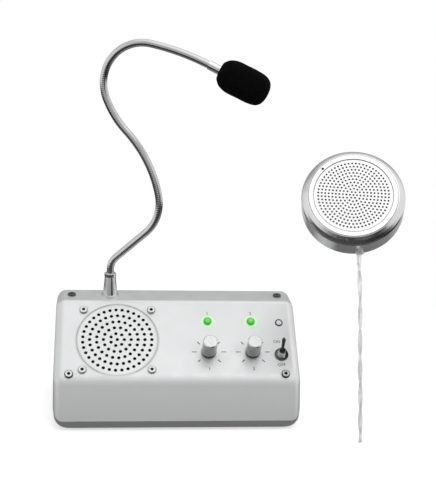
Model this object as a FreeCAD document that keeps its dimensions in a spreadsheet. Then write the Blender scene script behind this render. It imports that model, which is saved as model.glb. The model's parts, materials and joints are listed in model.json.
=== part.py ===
"""Teller window intercom: a desk unit with a gooseneck microphone, and a round outside unit.

Millimetres and degrees. The origin is on the counter, under the middle of the desk unit.
+X runs to the operator's right, +Y away from the operator, +Z up.
"""
import FreeCAD, Part

import math
import os

import Sketcher

Vector = FreeCAD.Vector
Rotation = FreeCAD.Rotation
Placement = FreeCAD.Placement

# Driving dimensions, written into the sheet as they stand
SIZES = {
    # housing of the desk unit
    "base_width": 190.0,
    "front_length": 32.5,
    "front_angle": 73.0,
    "panel_length": 69.0,
    "panel_slope": 38.6,
    "strip_depth": 27.5,
    "seam_height": 9.5,
    "cover_wall": 2.0,
    "side_round": 7.0,
    "bend_round": 16.0,
    "ridge_round": 6.0,
    "back_round": 2.4,
    "lower_corner_round": 8.0,
    # bottom tray, its feet and its posts
    "foot_height": 2.5,
    "foot_radius": 6.5,
    "foot_from_side": 20.0,
    "foot_from_edge": 22.0,
    "foot_dish_radius": 2.0,
    "foot_dish_depth": 1.0,
    "seam_gap": 0.25,
    "tray_inset": 0.6,
    "tray_taper": 23.0,
    "tray_plan_round": 7.0,
    "tray_side_round": 12.0,
    "tray_lip_height": 4.0,
    "tray_lip_setback": 4.2,
    "tray_wall": 2.0,
    "post_radius": 3.2,
    # screws, their holes and their pilot holes
    "screw_radius": 1.45,
    "screw_hole_play": 0.2,
    "screw_pilot_play": 0.05,
    "screw_length": 8.0,
    "screw_head_radius": 3.3,
    "screw_head_height": 1.6,
    "screw_head_edge": 0.5,
    "screw_slot_width": 0.8,
    "screw_slot_span": 2.6,
    "screw_slot_depth": 0.9,
    "cover_screw_from_side": 12.0,
    "front_screw_up": 3.5,
    "top_screw_back": 13.0,
    # base loudspeaker and its grille
    "speaker_from_side": 48.5,
    "speaker_up": 33.7,
    "speaker_hole_pitch": 53.0,
    "speaker_flange": 64.0,
    "speaker_flange_round": 7.0,
    "speaker_flange_thickness": 1.2,
    "speaker_throat_radius": 29.0,
    "basket_top_radius": 30.5,
    "basket_foot_radius": 17.5,
    "basket_depth": 14.0,
    "basket_wall": 1.0,
    "magnet_radius": 21.0,
    "magnet_height": 9.0,
    "yoke_radius": 19.0,
    "yoke_height": 3.0,
    "cone_wall": 0.6,
    "cone_rim_radius": 27.0,
    "cone_foot_radius": 9.0,
    "cone_depth": 9.0,
    "cone_set_back": 0.8,
    "cloth_thickness": 0.4,
    "cloth_radius": 29.0,
    "grille_groove_radius": 31.2,
    "grille_groove_width": 0.7,
    "grille_groove_depth": 0.4,
    "grille_ring_pitch": 5.35,
    "grille_hole_radius": 1.2,
    "nut_flats": 5.5,
    "nut_height": 2.4,
    # control board and what stands on it
    "board_from_side": 6.0,
    "board_foot": 8.0,
    "board_length": 53.0,
    "board_thickness": 1.6,
    "board_depth": 12.5,
    "board_screw_inset": 3.0,
    "stud_radius": 2.4,
    "stud_screw_radius": 1.2,
    "stud_screw_length": 5.0,
    "stud_screw_head_radius": 2.2,
    "stud_screw_head_height": 1.4,
    "chip_width": 20.0,
    "chip_depth": 5.0,
    "chip_height": 9.0,
    "fin_pitch": 2.5,
    "fin_thickness": 1.0,
    "fin_height": 11.0,
    "capacitor_radius": 4.0,
    "capacitor_height": 11.0,
    "capacitor_pitch": 10.0,
    "component_up": 25.0,
    # volume controls
    "knob_up": 22.9,
    "knob_radius": 5.9,
    "knob_height": 16.5,
    "knob_gap": 0.5,
    "knob_edge": 0.7,
    "knob_skirt_height": 2.2,
    "knob_waist": 0.25,
    "knob_bore_depth": 13.0,
    "pointer_width": 0.8,
    "pointer_depth": 0.4,
    "pot_width": 16.5,
    "pot_height": 6.6,
    "pot_round": 3.0,
    "pot_bushing_radius": 3.5,
    "pot_shaft_radius": 3.0,
    "pot_play": 0.06,
    "panel_hole_play": 0.3,
    # lamps
    "lamp_up": 50.2,
    "lamp_radius": 3.3,
    "lamp_rise": 2.4,
    "lamp_stem_radius": 2.5,
    "lamp_holder_radius": 4.6,
    "lamp_holder_height": 6.0,
    "power_from_side": 13.8,
    "power_up": 49.2,
    "power_radius": 2.1,
    "power_rise": 1.2,
    "power_ring_radius": 3.0,
    "power_ring_rise": 0.6,
    "light_fit": 0.1,
    # toggle switch
    "switch_from_side": 14.0,
    "switch_up": 20.5,
    "switch_width": 8.0,
    "switch_length": 13.0,
    "switch_depth": 9.5,
    "switch_bushing_radius": 3.0,
    "switch_bushing_rise": 6.5,
    "switch_bushing_wall": 0.45,
    "switch_washer_radius": 5.4,
    "switch_washer_thickness": 0.8,
    "switch_nut_flats": 8.0,
    "switch_nut_height": 2.2,
    "lever_pivot_rise": 3.6,
    "lever_play": 0.3,
    "lever_ball_radius": 2.2,
    "lever_root_radius": 1.0,
    "lever_tip_radius": 1.5,
    "lever_reach": 15.5,
    "lever_tilt": 16.0,
    # rear sockets
    "inlet_from_side": 40.0,
    "socket_height": 24.0,
    "inlet_radius": 4.5,
    "inlet_flange_radius": 6.0,
    "inlet_flange_thickness": 1.0,
    "inlet_length": 13.0,
    "inlet_bore_radius": 3.1,
    "inlet_pin_radius": 1.0,
    "inlet_pin_length": 9.0,
    "jack_from_side": 65.0,
    "jack_radius": 3.0,
    "jack_flange_radius": 4.0,
    "jack_flange_thickness": 1.2,
    "jack_length": 14.0,
    "jack_bore_radius": 1.8,
    # gooseneck: stretches that each bend, tightly or easily, and one straight run
    "neck_from_side": 42.5,
    "neck_back": 12.5,
    "neck_yaw": 18.0,
    "neck_radius": 2.9,
    "neck_bore_radius": 1.5,
    "ball_step": 0.05,
    "socket_play": 0.3,
    "neck_stub_sink": 12.0,
    "lower_bend_radius": 14.6,
    "lower_bend_turn": 46.5,
    "lower_run": 33.6,
    "side_bend_radius": 32.6,
    "side_bend_turn": 58.2,
    "side_ease_radius": 94.4,
    "side_ease_turn": 34.2,
    "top_ease_radius": 71.7,
    "top_ease_turn": 23.2,
    "top_bend_radius": 32.0,
    "top_bend_turn": 121.7,
    "mic_bend_radius": 194.3,
    "mic_bend_turn": 13.8,
    # ferrule at the neck's foot
    "ferrule_height": 22.0,
    "ferrule_flange_radius": 7.0,
    "ferrule_flange_height": 1.4,
    "ferrule_foot_radius": 5.7,
    "ferrule_waist_radius": 4.5,
    "ferrule_bead_height": 3.0,
    "ferrule_bead_radius": 4.7,
    "ferrule_fit": 0.05,
    "ferrule_thread_radius": 5.0,
    "ferrule_thread_length": 9.0,
    "ferrule_nut_flats": 14.0,
    "ferrule_nut_height": 4.0,
    "ferrule_hole_play": 0.2,
    # microphone
    "sleeve_radius": 3.5,
    "sleeve_length": 10.5,
    "head_radius": 5.0,
    "head_length": 24.0,
    "head_wall": 0.8,
    "capsule_radius": 4.1,
    "capsule_height": 5.0,
    "foam_length": 39.5,
    "foam_radius": 12.6,
    "foam_mouth_radius": 7.0,
    "foam_neck_length": 11.0,
    "foam_play": 0.3,
    "foam_start": 9.5,
    # outside unit, a round shell whose face looks up at the caller
    "outside_across": 120.9,
    "outside_forward": 52.5,
    "outside_height": 191.0,
    "outside_yaw": 13.0,
    "outside_tilt": 38.8,
    "outside_radius": 37.5,
    "outside_depth": 20.5,
    "outside_wall": 2.2,
    "face_ring_radius": 32.2,
    "face_bevel_depth": 5.6,
    "outside_grille_radius": 28.4,
    "outside_grille_thickness": 0.8,
    "outside_grille_set_back": 0.4,
    "outside_ledge_width": 2.2,
    "outside_ledge_thickness": 1.2,
    "outside_ring_pitch": 2.53,
    "outside_hole_radius": 0.58,
    "pinhole_radius": 0.6,
    "pinhole_place_radius": 30.3,
    "pinhole_angle": 141.0,
    "outside_capsule_radius": 1.6,
    "outside_capsule_height": 2.2,
    "back_plate_thickness": 2.4,
    "back_plate_inset": 0.3,
    "back_screw_ring": 32.3,
    "back_boss_radius": 3.2,
    "pad_radius": 29.0,
    "pad_thickness": 1.0,
    "small_speaker_radius": 24.0,
    "small_speaker_rim": 2.5,
    "small_speaker_depth": 6.0,
    "small_magnet_radius": 10.0,
    "small_magnet_height": 4.5,
    # cord of the outside unit
    "cord_radius": 1.7,
    "gland_radius": 3.0,
    "gland_neck_radius": 2.4,
    "gland_tip_radius": 2.2,
    "gland_rise": 1.2,
    "gland_across": 7.4,
    "gland_from_back": 3.4,
    # overrun that every cut shares
    "overrun": 1.0,
}

# How many of each repeated thing there are
GRILLE_RINGS = 5
GRILLE_RING_STEP = 7
OUTSIDE_RINGS = 10
OUTSIDE_RING_STEP = 6
FINS = 7
CAPACITORS = 3

# Rounded forms, as shares of their radius and of their height
LENS_SHARES = ((0.94, 0.6), (0.72, 0.84), (0.38, 0.97))
POWER_LENS_SHARES = (0.8, 0.85)
LEVER_BALL_SHARES = ((0, -1), (0.5, -0.866), (0.866, -0.5), (1, 0), (0.866, 0.5))
LEVER_NECK_SHARE = 0.87
LEVER_TIP_SHARES = (0.71, 0.29)
FOAM_MOUTH_SHARES = ((0.8, 0.25), (0.93, 0.6))
FOAM_TIP_SHARES = ((1, 1), (0.95, 0.6), (0.8, 0.24), (0.5, 0.04))
SHOULDER_SHARES = ((0, 0), (0.16, 0.07), (0.55, 0.38), (0.86, 0.75), (1, 1))
POINTER_START_SHARE = 1 / 3

# Places across the panel, as shares of the way from the loudspeaker's edge to the switch
BOARD_LEFT_SHARE = 0.26775
KNOB_LEFT_SHARE = 0.40628
KNOB_RIGHT_SHARE = 0.76647

# The cord's route, chosen by hand: from the gland, out of the shell and down to its bare end
CORD_ROUTE = [
    (125.7, -64.8, 150.1),
    (124.6, -69.7, 143.9),
    (126.5, -70.9, 127.0),
    (129.0, -70.2, 101.0),
    (131.3, -69.8, 68.0),
    (134.6, -68.4, 35.0),
    (137.2, -67.4, 1.9),
]

# How much of the shorter run beside a corner of the cord's route its arc takes up
CORNER_SHARE = 0.45

document = FreeCAD.newDocument("teller_window_intercom")
sheet = document.addObject("Spreadsheet::Sheet", "dim")
for row, (alias, size) in enumerate(SIZES.items(), start=1):
    sheet.set("A%d" % row, alias)
    sheet.set("B%d" % row, str(size))
    sheet.setAlias("B%d" % row, alias)
document.recompute()


class Size:
    """A length or an angle: its value now, and the sheet expression that gives it."""

    def __init__(self, value, text):
        self.value = value
        self.text = text

    def __add__(self, other):
        other = as_size(other)
        return Size(self.value + other.value, "(%s + %s)" % (self.text, other.text))

    def __radd__(self, other):
        return as_size(other) + self

    def __sub__(self, other):
        other = as_size(other)
        return Size(self.value - other.value, "(%s - %s)" % (self.text, other.text))

    def __rsub__(self, other):
        return as_size(other) - self

    def __mul__(self, other):
        other = as_size(other)
        return Size(self.value * other.value, "%s * %s" % (self.text, other.text))

    def __rmul__(self, other):
        return as_size(other) * self

    def __truediv__(self, other):
        other = as_size(other)
        return Size(self.value / other.value, "%s / (%s)" % (self.text, other.text))

    def __neg__(self):
        return Size(-self.value, "(0 - %s)" % self.text)


def as_size(number):
    """A plain number or a Size, as a Size."""
    return number if isinstance(number, Size) else Size(float(number), "(%r)" % float(number))


def named(alias):
    """The Size of one cell of the sheet."""
    return Size(float(sheet.get(alias)), "dim.%s" % alias)


def sine(angle):
    return Size(math.sin(math.radians(angle.value)), "sin(%s)" % angle.text)


def cosine(angle):
    return Size(math.cos(math.radians(angle.value)), "cos(%s)" % angle.text)


def tangent(angle):
    return Size(math.tan(math.radians(angle.value)), "tan(%s)" % angle.text)


class Dimensions:
    """Every cell of the sheet, by its alias."""

    def __init__(self, aliases):
        for name in aliases:
            setattr(self, name, named(name))


d = Dimensions(SIZES)

X_AXIS = Vector(1, 0, 0)
Y_AXIS = Vector(0, 1, 0)
Z_AXIS = Vector(0, 0, 1)


def point(across, back, up):
    """A point given by three Sizes or numbers."""
    return Vector(as_size(across).value, as_size(back).value, as_size(up).value)


def shift(across, back, up):
    """A placement that only moves."""
    return Placement(point(across, back, up), Rotation())


def turn(axis, angle):
    """A placement that only turns, by an angle in degrees."""
    return Placement(Vector(), Rotation(axis, as_size(angle).value))


# Sketches and features

def new_body(label):
    return document.addObject("PartDesign::Body", label)


def new_sketch(body, name, role, offset=None):
    """A sketch on one of the body's own origin planes, moved and turned by an offset."""
    sketch = body.newObject("Sketcher::SketchObject", body.Name + "_" + name)
    plane = [item for item in body.Origin.OriginFeatures if item.Role == role][0]
    sketch.AttachmentSupport = [(plane, "")]
    sketch.MapMode = "FlatFace"
    if offset is not None:
        sketch.AttachmentOffset = offset
    return sketch


def hold(sketch, kind, item, end, amount):
    """Keep one end of a sketch item at a bound distance from an axis of the sketch."""
    if amount.value == 0:
        axis = -2 if kind == "DistanceX" else -1
        sketch.addConstraint(Sketcher.Constraint("PointOnObject", item, end, axis))
        return
    index = sketch.addConstraint(Sketcher.Constraint(kind, -1, 1, item, end, amount.value))
    sketch.setExpression("Constraints[%d]" % index, amount.text)


def draw_outline(sketch, corners):
    """A closed outline through corners that are pairs of Sizes."""
    corners = [(as_size(a), as_size(b)) for a, b in corners]
    first = sketch.GeometryCount
    count = len(corners)
    for index in range(count):
        here = corners[index]
        there = corners[(index + 1) % count]
        start = Vector(here[0].value, here[1].value, 0)
        end = Vector(there[0].value, there[1].value, 0)
        sketch.addGeometry(Part.LineSegment(start, end))
    for index in range(count):
        following = first + (index + 1) % count
        sketch.addConstraint(Sketcher.Constraint("Coincident", first + index, 2, following, 1))
    for index, (across, up) in enumerate(corners):
        hold(sketch, "DistanceX", first + index, 1, across)
        hold(sketch, "DistanceY", first + index, 1, up)


def draw_circle(sketch, across, up, radius):
    """A circle whose centre and radius are Sizes."""
    across, up, radius = as_size(across), as_size(up), as_size(radius)
    centre = Vector(across.value, up.value, 0)
    item = sketch.addGeometry(Part.Circle(centre, Z_AXIS, radius.value))
    hold(sketch, "DistanceX", item, 3, across)
    hold(sketch, "DistanceY", item, 3, up)
    index = sketch.addConstraint(Sketcher.Constraint("Radius", item, radius.value))
    sketch.setExpression("Constraints[%d]" % index, radius.text)


def draw_rectangle(sketch, left, low, right, high):
    draw_outline(sketch, [(left, low), (right, low), (right, high), (left, high)])


def draw_hexagon(sketch, flats):
    """A hexagon about the sketch's origin, by its width across flats."""
    reach = flats / math.sqrt(3)
    half = reach / 2
    side = flats / 2
    upper = [(reach, 0), (half, side), (-half, side)]
    lower = [(-reach, 0), (-half, -side), (half, -side)]
    draw_outline(sketch, upper + lower)


def draw_cross(sketch, span, width):
    """A cross-shaped outline about the sketch's origin."""
    far = span / 2
    near = width / 2
    corners = [(far, -near), (far, near), (near, near), (near, far), (-near, far), (-near, near)]
    corners += [(-far, near), (-far, -near), (-near, -near), (-near, -far), (near, -far), (near, -near)]
    draw_outline(sketch, corners)


def pad(body, sketch, length, midplane=False, reverse=False, taper=None):
    feature = body.newObject("PartDesign::Pad", sketch.Name + "_pad")
    feature.Profile = sketch
    feature.setExpression("Length", as_size(length).text)
    feature.Midplane = midplane
    feature.Reversed = reverse
    if taper is not None:
        feature.setExpression("TaperAngle", taper.text)
    body.Tip = feature
    return feature


def pocket(body, sketch, length, midplane=False, reverse=False):
    feature = body.newObject("PartDesign::Pocket", sketch.Name + "_pocket")
    feature.Profile = sketch
    feature.setExpression("Length", as_size(length).text)
    feature.Midplane = midplane
    feature.Reversed = reverse
    body.Tip = feature
    return feature


def ring_drills(label, spot, radius, depth, pitch, rings, ring_step):
    """Drills for a grille: one in the middle, and rings of them at an even pitch."""
    item = document.addObject("Part::Feature", label)
    depth = as_size(depth).value
    drills = []
    for ring in range(rings + 1):
        count = ring_step * ring if ring else 1
        for index in range(count):
            angle = 2 * math.pi * index / count
            reach = ring * pitch.value
            foot = Vector(reach * math.cos(angle), reach * math.sin(angle), -depth)
            drills.append(Part.makeCylinder(radius.value, 2 * depth, foot, Z_AXIS))
    item.Shape = Part.makeCompound(drills)
    item.Placement = spot
    return item


def edge_names(shape, wanted):
    return ["Edge%d" % (i + 1) for i, edge in enumerate(shape.Edges) if wanted(edge)]


def lies_on(edge, test):
    """Whether both ends and the middle of an edge pass a test."""
    middle = edge.valueAt((edge.FirstParameter + edge.LastParameter) / 2)
    return all(test(spot) for spot in [vertex.Point for vertex in edge.Vertexes] + [middle])


def fillet(body, base, wanted, radius):
    document.recompute()
    feature = body.newObject("PartDesign::Fillet", base.Name + "_fillet")
    feature.Base = (base, edge_names(base.Shape, wanted))
    feature.setExpression("Radius", as_size(radius).text)
    body.Tip = feature
    return feature


def near(one, other):
    return abs(one - as_size(other).value) < 1e-4


def turned(label, profile, spot=None):
    """A body turned about its own Z axis, from (radius, height) corners."""
    body = new_body(label)
    sketch = new_sketch(body, "profile", "XZ_Plane")
    draw_outline(sketch, profile)
    feature = body.newObject("PartDesign::Revolution", label + "_turned")
    feature.Profile = sketch
    feature.ReferenceAxis = (sketch, ["V_Axis"])
    feature.Angle = 360
    body.Tip = feature
    if spot is not None:
        body.Placement = spot
    return body


def ring_profile(inner, outer, low, high):
    return [(inner, low), (outer, low), (outer, high), (inner, high)]


def plate(label, outline, low, thickness, spot=None, circles=(), round_edges=None):
    """A flat plate: an outline drawn on it, holes in it, and rounded upright edges."""
    body = new_body(label)
    sketch = new_sketch(body, "outline", "XY_Plane", shift(0, 0, low))
    draw_outline(sketch, outline)
    for across, up, radius in circles:
        draw_circle(sketch, across, up, radius)
    feature = pad(body, sketch, thickness)
    if round_edges is not None:
        corners = {(as_size(a).value, as_size(b).value) for a, b in outline}

        def upright(edge):
            return any(
                lies_on(edge, lambda spot: near(spot.x, a) and near(spot.y, b)) for a, b in corners)

        fillet(body, feature, upright, round_edges)
    if spot is not None:
        body.Placement = spot
    return body


def cylinder(label, radius, height, spot):
    item = document.addObject("Part::Cylinder", label)
    item.setExpression("Radius", as_size(radius).text)
    item.setExpression("Height", as_size(height).text)
    item.Placement = spot
    return item


def box(label, length, width, height, spot):
    item = document.addObject("Part::Box", label)
    item.setExpression("Length", as_size(length).text)
    item.setExpression("Width", as_size(width).text)
    item.setExpression("Height", as_size(height).text)
    item.Placement = spot
    return item


def cut(label, base, *tools):
    item = base
    for index, tool in enumerate(tools):
        last = index == len(tools) - 1
        step = document.addObject("Part::Cut", label if last else "%s_step_%d" % (label, index))
        step.Base = item
        step.Tool = tool
        item = step
    return item


def fused(label, shapes):
    item = document.addObject("Part::MultiFuse", label)
    item.Shapes = shapes
    return item


def common(label, one, other):
    item = document.addObject("Part::Common", label)
    item.Base = one
    item.Tool = other
    return item


def group(label, master, spots):
    """Several separate copies of one piece, in one node."""
    document.recompute()
    item = document.addObject("Part::Feature", label)
    shapes = []
    for spot in spots:
        shape = master.Shape.copy()
        shape.Placement = spot.multiply(master.Placement)
        shapes.append(shape)
    item.Shape = Part.makeCompound(shapes)
    return item


NODES = {}


def keep(node, item):
    """Export this object as a node of that name."""
    item.Label = node
    NODES[node] = item
    return item


# Side profile of the desk unit, from the front edge of the cover to its back
FRONT_RUN = d.front_length * cosine(d.front_angle)
FRONT_RISE = d.front_length * sine(d.front_angle)
PANEL_RUN = d.panel_length * cosine(d.panel_slope)
PANEL_RISE = d.panel_length * sine(d.panel_slope)
BASE_DEPTH = FRONT_RUN + PANEL_RUN + d.strip_depth
COVER_FRONT = -(BASE_DEPTH / 2)
COVER_BACK = BASE_DEPTH / 2
PANEL_FOOT_BACK = COVER_FRONT + FRONT_RUN
PANEL_FOOT_UP = d.seam_height + FRONT_RISE
RIDGE_BACK = PANEL_FOOT_BACK + PANEL_RUN
COVER_TOP = PANEL_FOOT_UP + PANEL_RISE
HALF_WIDTH = d.base_width / 2
FLOOR_TOP = d.foot_height + d.tray_wall

# The sloping panel's own frame: X to the right, Y up the slope, Z out of the panel
PANEL = shift(0, PANEL_FOOT_BACK, PANEL_FOOT_UP).multiply(turn(X_AXIS, d.panel_slope))


def on_panel(across, up, rise=0):
    return PANEL.multiply(shift(across, up, rise))


SPEAKER_ACROSS = d.speaker_from_side - HALF_WIDTH
NECK_ACROSS = d.neck_from_side - HALF_WIDTH
SWITCH_ACROSS = HALF_WIDTH - d.switch_from_side
POWER_ACROSS = HALF_WIDTH - d.power_from_side
INLET_ACROSS = HALF_WIDTH - d.inlet_from_side
JACK_ACROSS = HALF_WIDTH - d.jack_from_side
CONTROLS_LEFT = SPEAKER_ACROSS + d.speaker_flange / 2
CONTROLS_SPAN = SWITCH_ACROSS - CONTROLS_LEFT
SPEAKER = on_panel(SPEAKER_ACROSS, d.speaker_up)
COVER_SCREW_ACROSS = HALF_WIDTH - d.cover_screw_from_side
TOP_SCREW_BACK = RIDGE_BACK + d.top_screw_back
NECK_BACK = RIDGE_BACK + d.neck_back
HOLE_RADIUS = d.screw_radius + d.screw_hole_play
PILOT_RADIUS = d.screw_radius + d.screw_pilot_play
HALF_PITCH = d.speaker_hole_pitch / 2
SPEAKER_CORNERS = [(-HALF_PITCH, -HALF_PITCH), (HALF_PITCH, -HALF_PITCH),
                   (HALF_PITCH, HALF_PITCH), (-HALF_PITCH, HALF_PITCH)]
KNOBS = {
    "left": CONTROLS_LEFT + CONTROLS_SPAN * KNOB_LEFT_SHARE,
    "right": CONTROLS_LEFT + CONTROLS_SPAN * KNOB_RIGHT_SHARE}
CUT_DEPTH = d.cover_wall + d.overrun


def drill(body, name, spot, circles, depth=CUT_DEPTH):
    """Round holes cut inward from a plane whose Z axis points out of the part."""
    sketch = new_sketch(body, name, "XY_Plane", spot)
    for across, up, radius in circles:
        draw_circle(sketch, across, up, radius)
    return pocket(body, sketch, depth)


def inset(corner, before, after, depth):
    """An outline's corner moved inward from its two lines, given by their directions."""
    first = (sine(before), -cosine(before))
    second = (sine(after), -cosine(after))
    spread = first[0] * second[1] - first[1] * second[0]
    back = depth * (second[1] - first[1]) / spread
    up = depth * (first[0] - second[0]) / spread
    return corner[0] + back, corner[1] + up


LEVEL = Size(0.0, "0")


def wedge(label, depth):
    """The cover's outer form with rounded edges, or its hollow, which lies deeper by a wall."""
    front = COVER_FRONT + depth / sine(d.front_angle)
    back = COVER_BACK - depth
    half = HALF_WIDTH - depth
    bend = inset((PANEL_FOOT_BACK, PANEL_FOOT_UP), d.front_angle, d.panel_slope, depth)
    ridge = inset((RIDGE_BACK, COVER_TOP), d.panel_slope, LEVEL, depth)
    crest = (back, COVER_TOP - depth)
    body = new_body(label)
    sketch = new_sketch(body, "side", "YZ_Plane")
    draw_outline(sketch, [(front, d.seam_height), bend, ridge, crest, (back, d.seam_height)])
    block = pad(body, sketch, 2 * half, midplane=True)
    for corner, radius in ((bend, d.bend_round), (ridge, d.ridge_round), (crest, d.back_round)):
        def along(edge):
            return lies_on(edge, lambda spot: near(spot.y, corner[0]) and near(spot.z, corner[1]))

        block = fillet(body, block, along, radius - depth)

    def on_side(edge):
        below = lies_on(edge, lambda spot: near(spot.z, d.seam_height))
        return lies_on(edge, lambda spot: near(abs(spot.x), half)) and not below

    fillet(body, block, on_side, d.side_round - depth)
    return body


def front_prism(label, half, low, radius):
    """A block as deep as the desk unit and more, its two lower long edges rounded."""
    body = new_body(label)
    sketch = new_sketch(body, "front_view", "XZ_Plane")
    draw_rectangle(sketch, -half, low, half, COVER_TOP + d.overrun)
    prism = pad(body, sketch, BASE_DEPTH + 2 * d.overrun, midplane=True)

    def lower_corner(edge):
        return lies_on(edge, lambda spot: near(abs(spot.x), half) and near(spot.z, low))

    fillet(body, prism, lower_corner, radius)
    return body


def make_top_cover():
    """Bent cover: front face, sloping panel, top strip, back and sides in one shell."""
    body = wedge("cover_block", as_size(0))
    hollow = wedge("cover_hollow", d.cover_wall)
    knob_hole = d.pot_bushing_radius + d.panel_hole_play
    drill(body, "panel_holes", PANEL, [
        (-COVER_SCREW_ACROSS, d.front_screw_up, HOLE_RADIUS),
        (COVER_SCREW_ACROSS, d.front_screw_up, HOLE_RADIUS),
        (KNOBS["left"], d.knob_up, knob_hole),
        (KNOBS["right"], d.knob_up, knob_hole),
        (KNOBS["left"], d.lamp_up, d.lamp_stem_radius + d.light_fit),
        (KNOBS["right"], d.lamp_up, d.lamp_stem_radius + d.light_fit),
        (POWER_ACROSS, d.power_up, d.power_radius + d.light_fit),
        (SWITCH_ACROSS, d.switch_up, d.switch_bushing_radius + d.screw_hole_play),
    ])
    corners = [(across, up, HOLE_RADIUS) for across, up in SPEAKER_CORNERS]
    drill(body, "speaker_holes", SPEAKER, corners)
    groove = new_sketch(body, "groove", "XY_Plane", SPEAKER)
    draw_circle(groove, 0, 0, d.grille_groove_radius)
    draw_circle(groove, 0, 0, d.grille_groove_radius + d.grille_groove_width)
    pocket(body, groove, d.grille_groove_depth)
    drill(body, "strip_holes", shift(0, 0, COVER_TOP), [
        (-COVER_SCREW_ACROSS, TOP_SCREW_BACK, HOLE_RADIUS),
        (COVER_SCREW_ACROSS, TOP_SCREW_BACK, HOLE_RADIUS),
        (NECK_ACROSS, NECK_BACK, d.ferrule_thread_radius + d.ferrule_hole_play),
    ])
    rear = shift(0, COVER_BACK, 0).multiply(turn(Z_AXIS, 180)).multiply(turn(X_AXIS, 90))
    drill(body, "rear_holes", rear, [
        (-INLET_ACROSS, d.socket_height, d.inlet_radius + d.light_fit),
        (-JACK_ACROSS, d.socket_height, d.jack_radius + d.light_fit),
    ])

    grille = ring_drills(
        "grille_drills", SPEAKER, d.grille_hole_radius, CUT_DEPTH, d.grille_ring_pitch,
        GRILLE_RINGS, GRILLE_RING_STEP)
    shell = cut("cover_shell", body, hollow, grille)
    envelope = front_prism("cover_envelope", HALF_WIDTH, d.seam_height, d.lower_corner_round)
    keep("top_cover", common("top_cover_rounded", shell, envelope))


def make_bottom_tray():
    """Shallow tray that closes the cover from below, with the posts that its screws bite in."""
    inset_front = COVER_FRONT + d.tray_inset
    inset_back = COVER_BACK - d.tray_inset
    half = HALF_WIDTH - d.tray_inset
    rim_up = d.seam_height - d.seam_gap
    skirt_height = rim_up - d.foot_height
    slope = skirt_height * tangent(d.tray_taper)
    lip_front = COVER_FRONT + d.tray_lip_setback
    lip_back = COVER_BACK - d.cover_wall - d.seam_gap
    lip_top = rim_up + d.tray_lip_height

    def upright(edge):
        return not near(edge.BoundBox.ZLength, 0)

    corner_top = d.seam_height + d.lower_corner_round
    skirt = new_body("tray_skirt")
    plan = new_sketch(skirt, "plan", "XY_Plane", shift(0, 0, corner_top))
    draw_rectangle(plan, -half, inset_front, half, inset_back)
    block = pad(skirt, plan, corner_top - d.foot_height, reverse=True)
    rounded = fillet(skirt, block, upright, d.tray_plan_round)

    document.recompute()
    bevel = skirt.newObject("PartDesign::Chamfer", "tray_bevel")
    bevel.Base = (rounded, edge_names(
        rounded.Shape, lambda edge: near(edge.BoundBox.ZMax, d.foot_height)))
    bevel.ChamferType = "Two distances"
    bevel.setExpression("Size", slope.text)
    bevel.setExpression("Size2", (skirt_height - d.seam_gap).text)
    bevel.FlipDirection = True
    skirt.Tip = bevel
    cover_room = front_prism("tray_cover_room", HALF_WIDTH, rim_up, d.lower_corner_round)
    lower = cut("tray_lower", skirt, cover_room)

    lip = new_body("tray_lip")
    lip_half = HALF_WIDTH - d.cover_wall - d.seam_gap
    lip_plan = new_sketch(lip, "plan", "XY_Plane", shift(0, 0, rim_up))
    draw_rectangle(lip_plan, -lip_half, lip_front, lip_half, lip_back)
    lip_block = pad(lip, lip_plan, d.tray_lip_height)
    fillet(lip, lip_block, upright, d.tray_plan_round)

    envelope = front_prism("tray_envelope", half, d.foot_height, d.tray_side_round)
    outside = common("tray_outside", fused("tray_block", [lower, lip]), envelope)

    floor_half = half - d.tray_side_round + d.tray_wall
    hollow_front = lip_front + d.tray_wall
    hollow_back = lip_back - d.tray_wall
    cavity = box(
        "tray_cavity", 2 * floor_half, hollow_back - hollow_front, lip_top - FLOOR_TOP + d.overrun,
        shift(-floor_half, hollow_front, FLOOR_TOP))
    rim_half = half - 2 * d.tray_wall
    upper = box(
        "tray_upper_cavity", 2 * rim_half, hollow_back - hollow_front, d.tray_lip_height + d.overrun,
        shift(-rim_half, hollow_front, rim_up))
    hollow = cut("tray_hollow", outside, cavity, upper)

    posts = []
    strip_under = COVER_TOP - d.cover_wall
    lean = d.panel_slope
    drop = (PANEL_FOOT_UP - FLOOR_TOP) / cosine(lean)
    for side in (-1, 1):
        name = "left" if side < 0 else "right"
        across = side * COVER_SCREW_ACROSS
        tall = cylinder(
            "tall_post_" + name, d.post_radius, strip_under - FLOOR_TOP,
            shift(across, TOP_SCREW_BACK, FLOOR_TOP))
        pilot = cylinder(
            "tall_pilot_" + name, PILOT_RADIUS, d.screw_length + d.overrun,
            shift(across, TOP_SCREW_BACK, strip_under - d.screw_length))
        posts.append(cut("tall_post_drilled_" + name, tall, pilot))
        foot = on_panel(across, d.front_screw_up, -d.cover_wall - drop)
        leaning = cylinder("leaning_post_" + name, d.post_radius, drop, foot)
        seat = on_panel(across, d.front_screw_up, -d.cover_wall - d.screw_length)
        bore = cylinder("leaning_pilot_" + name, PILOT_RADIUS, d.screw_length + d.overrun, seat)
        below = box(
            "leaning_trim_" + name, 4 * d.post_radius, BASE_DEPTH, FLOOR_TOP,
            shift(across - 2 * d.post_radius, COVER_FRONT, 0))
        posts.append(cut("leaning_post_drilled_" + name, leaning, bore, below, NODES["top_cover"]))
    keep("bottom_tray", fused("tray_with_posts", [hollow] + posts))


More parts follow.
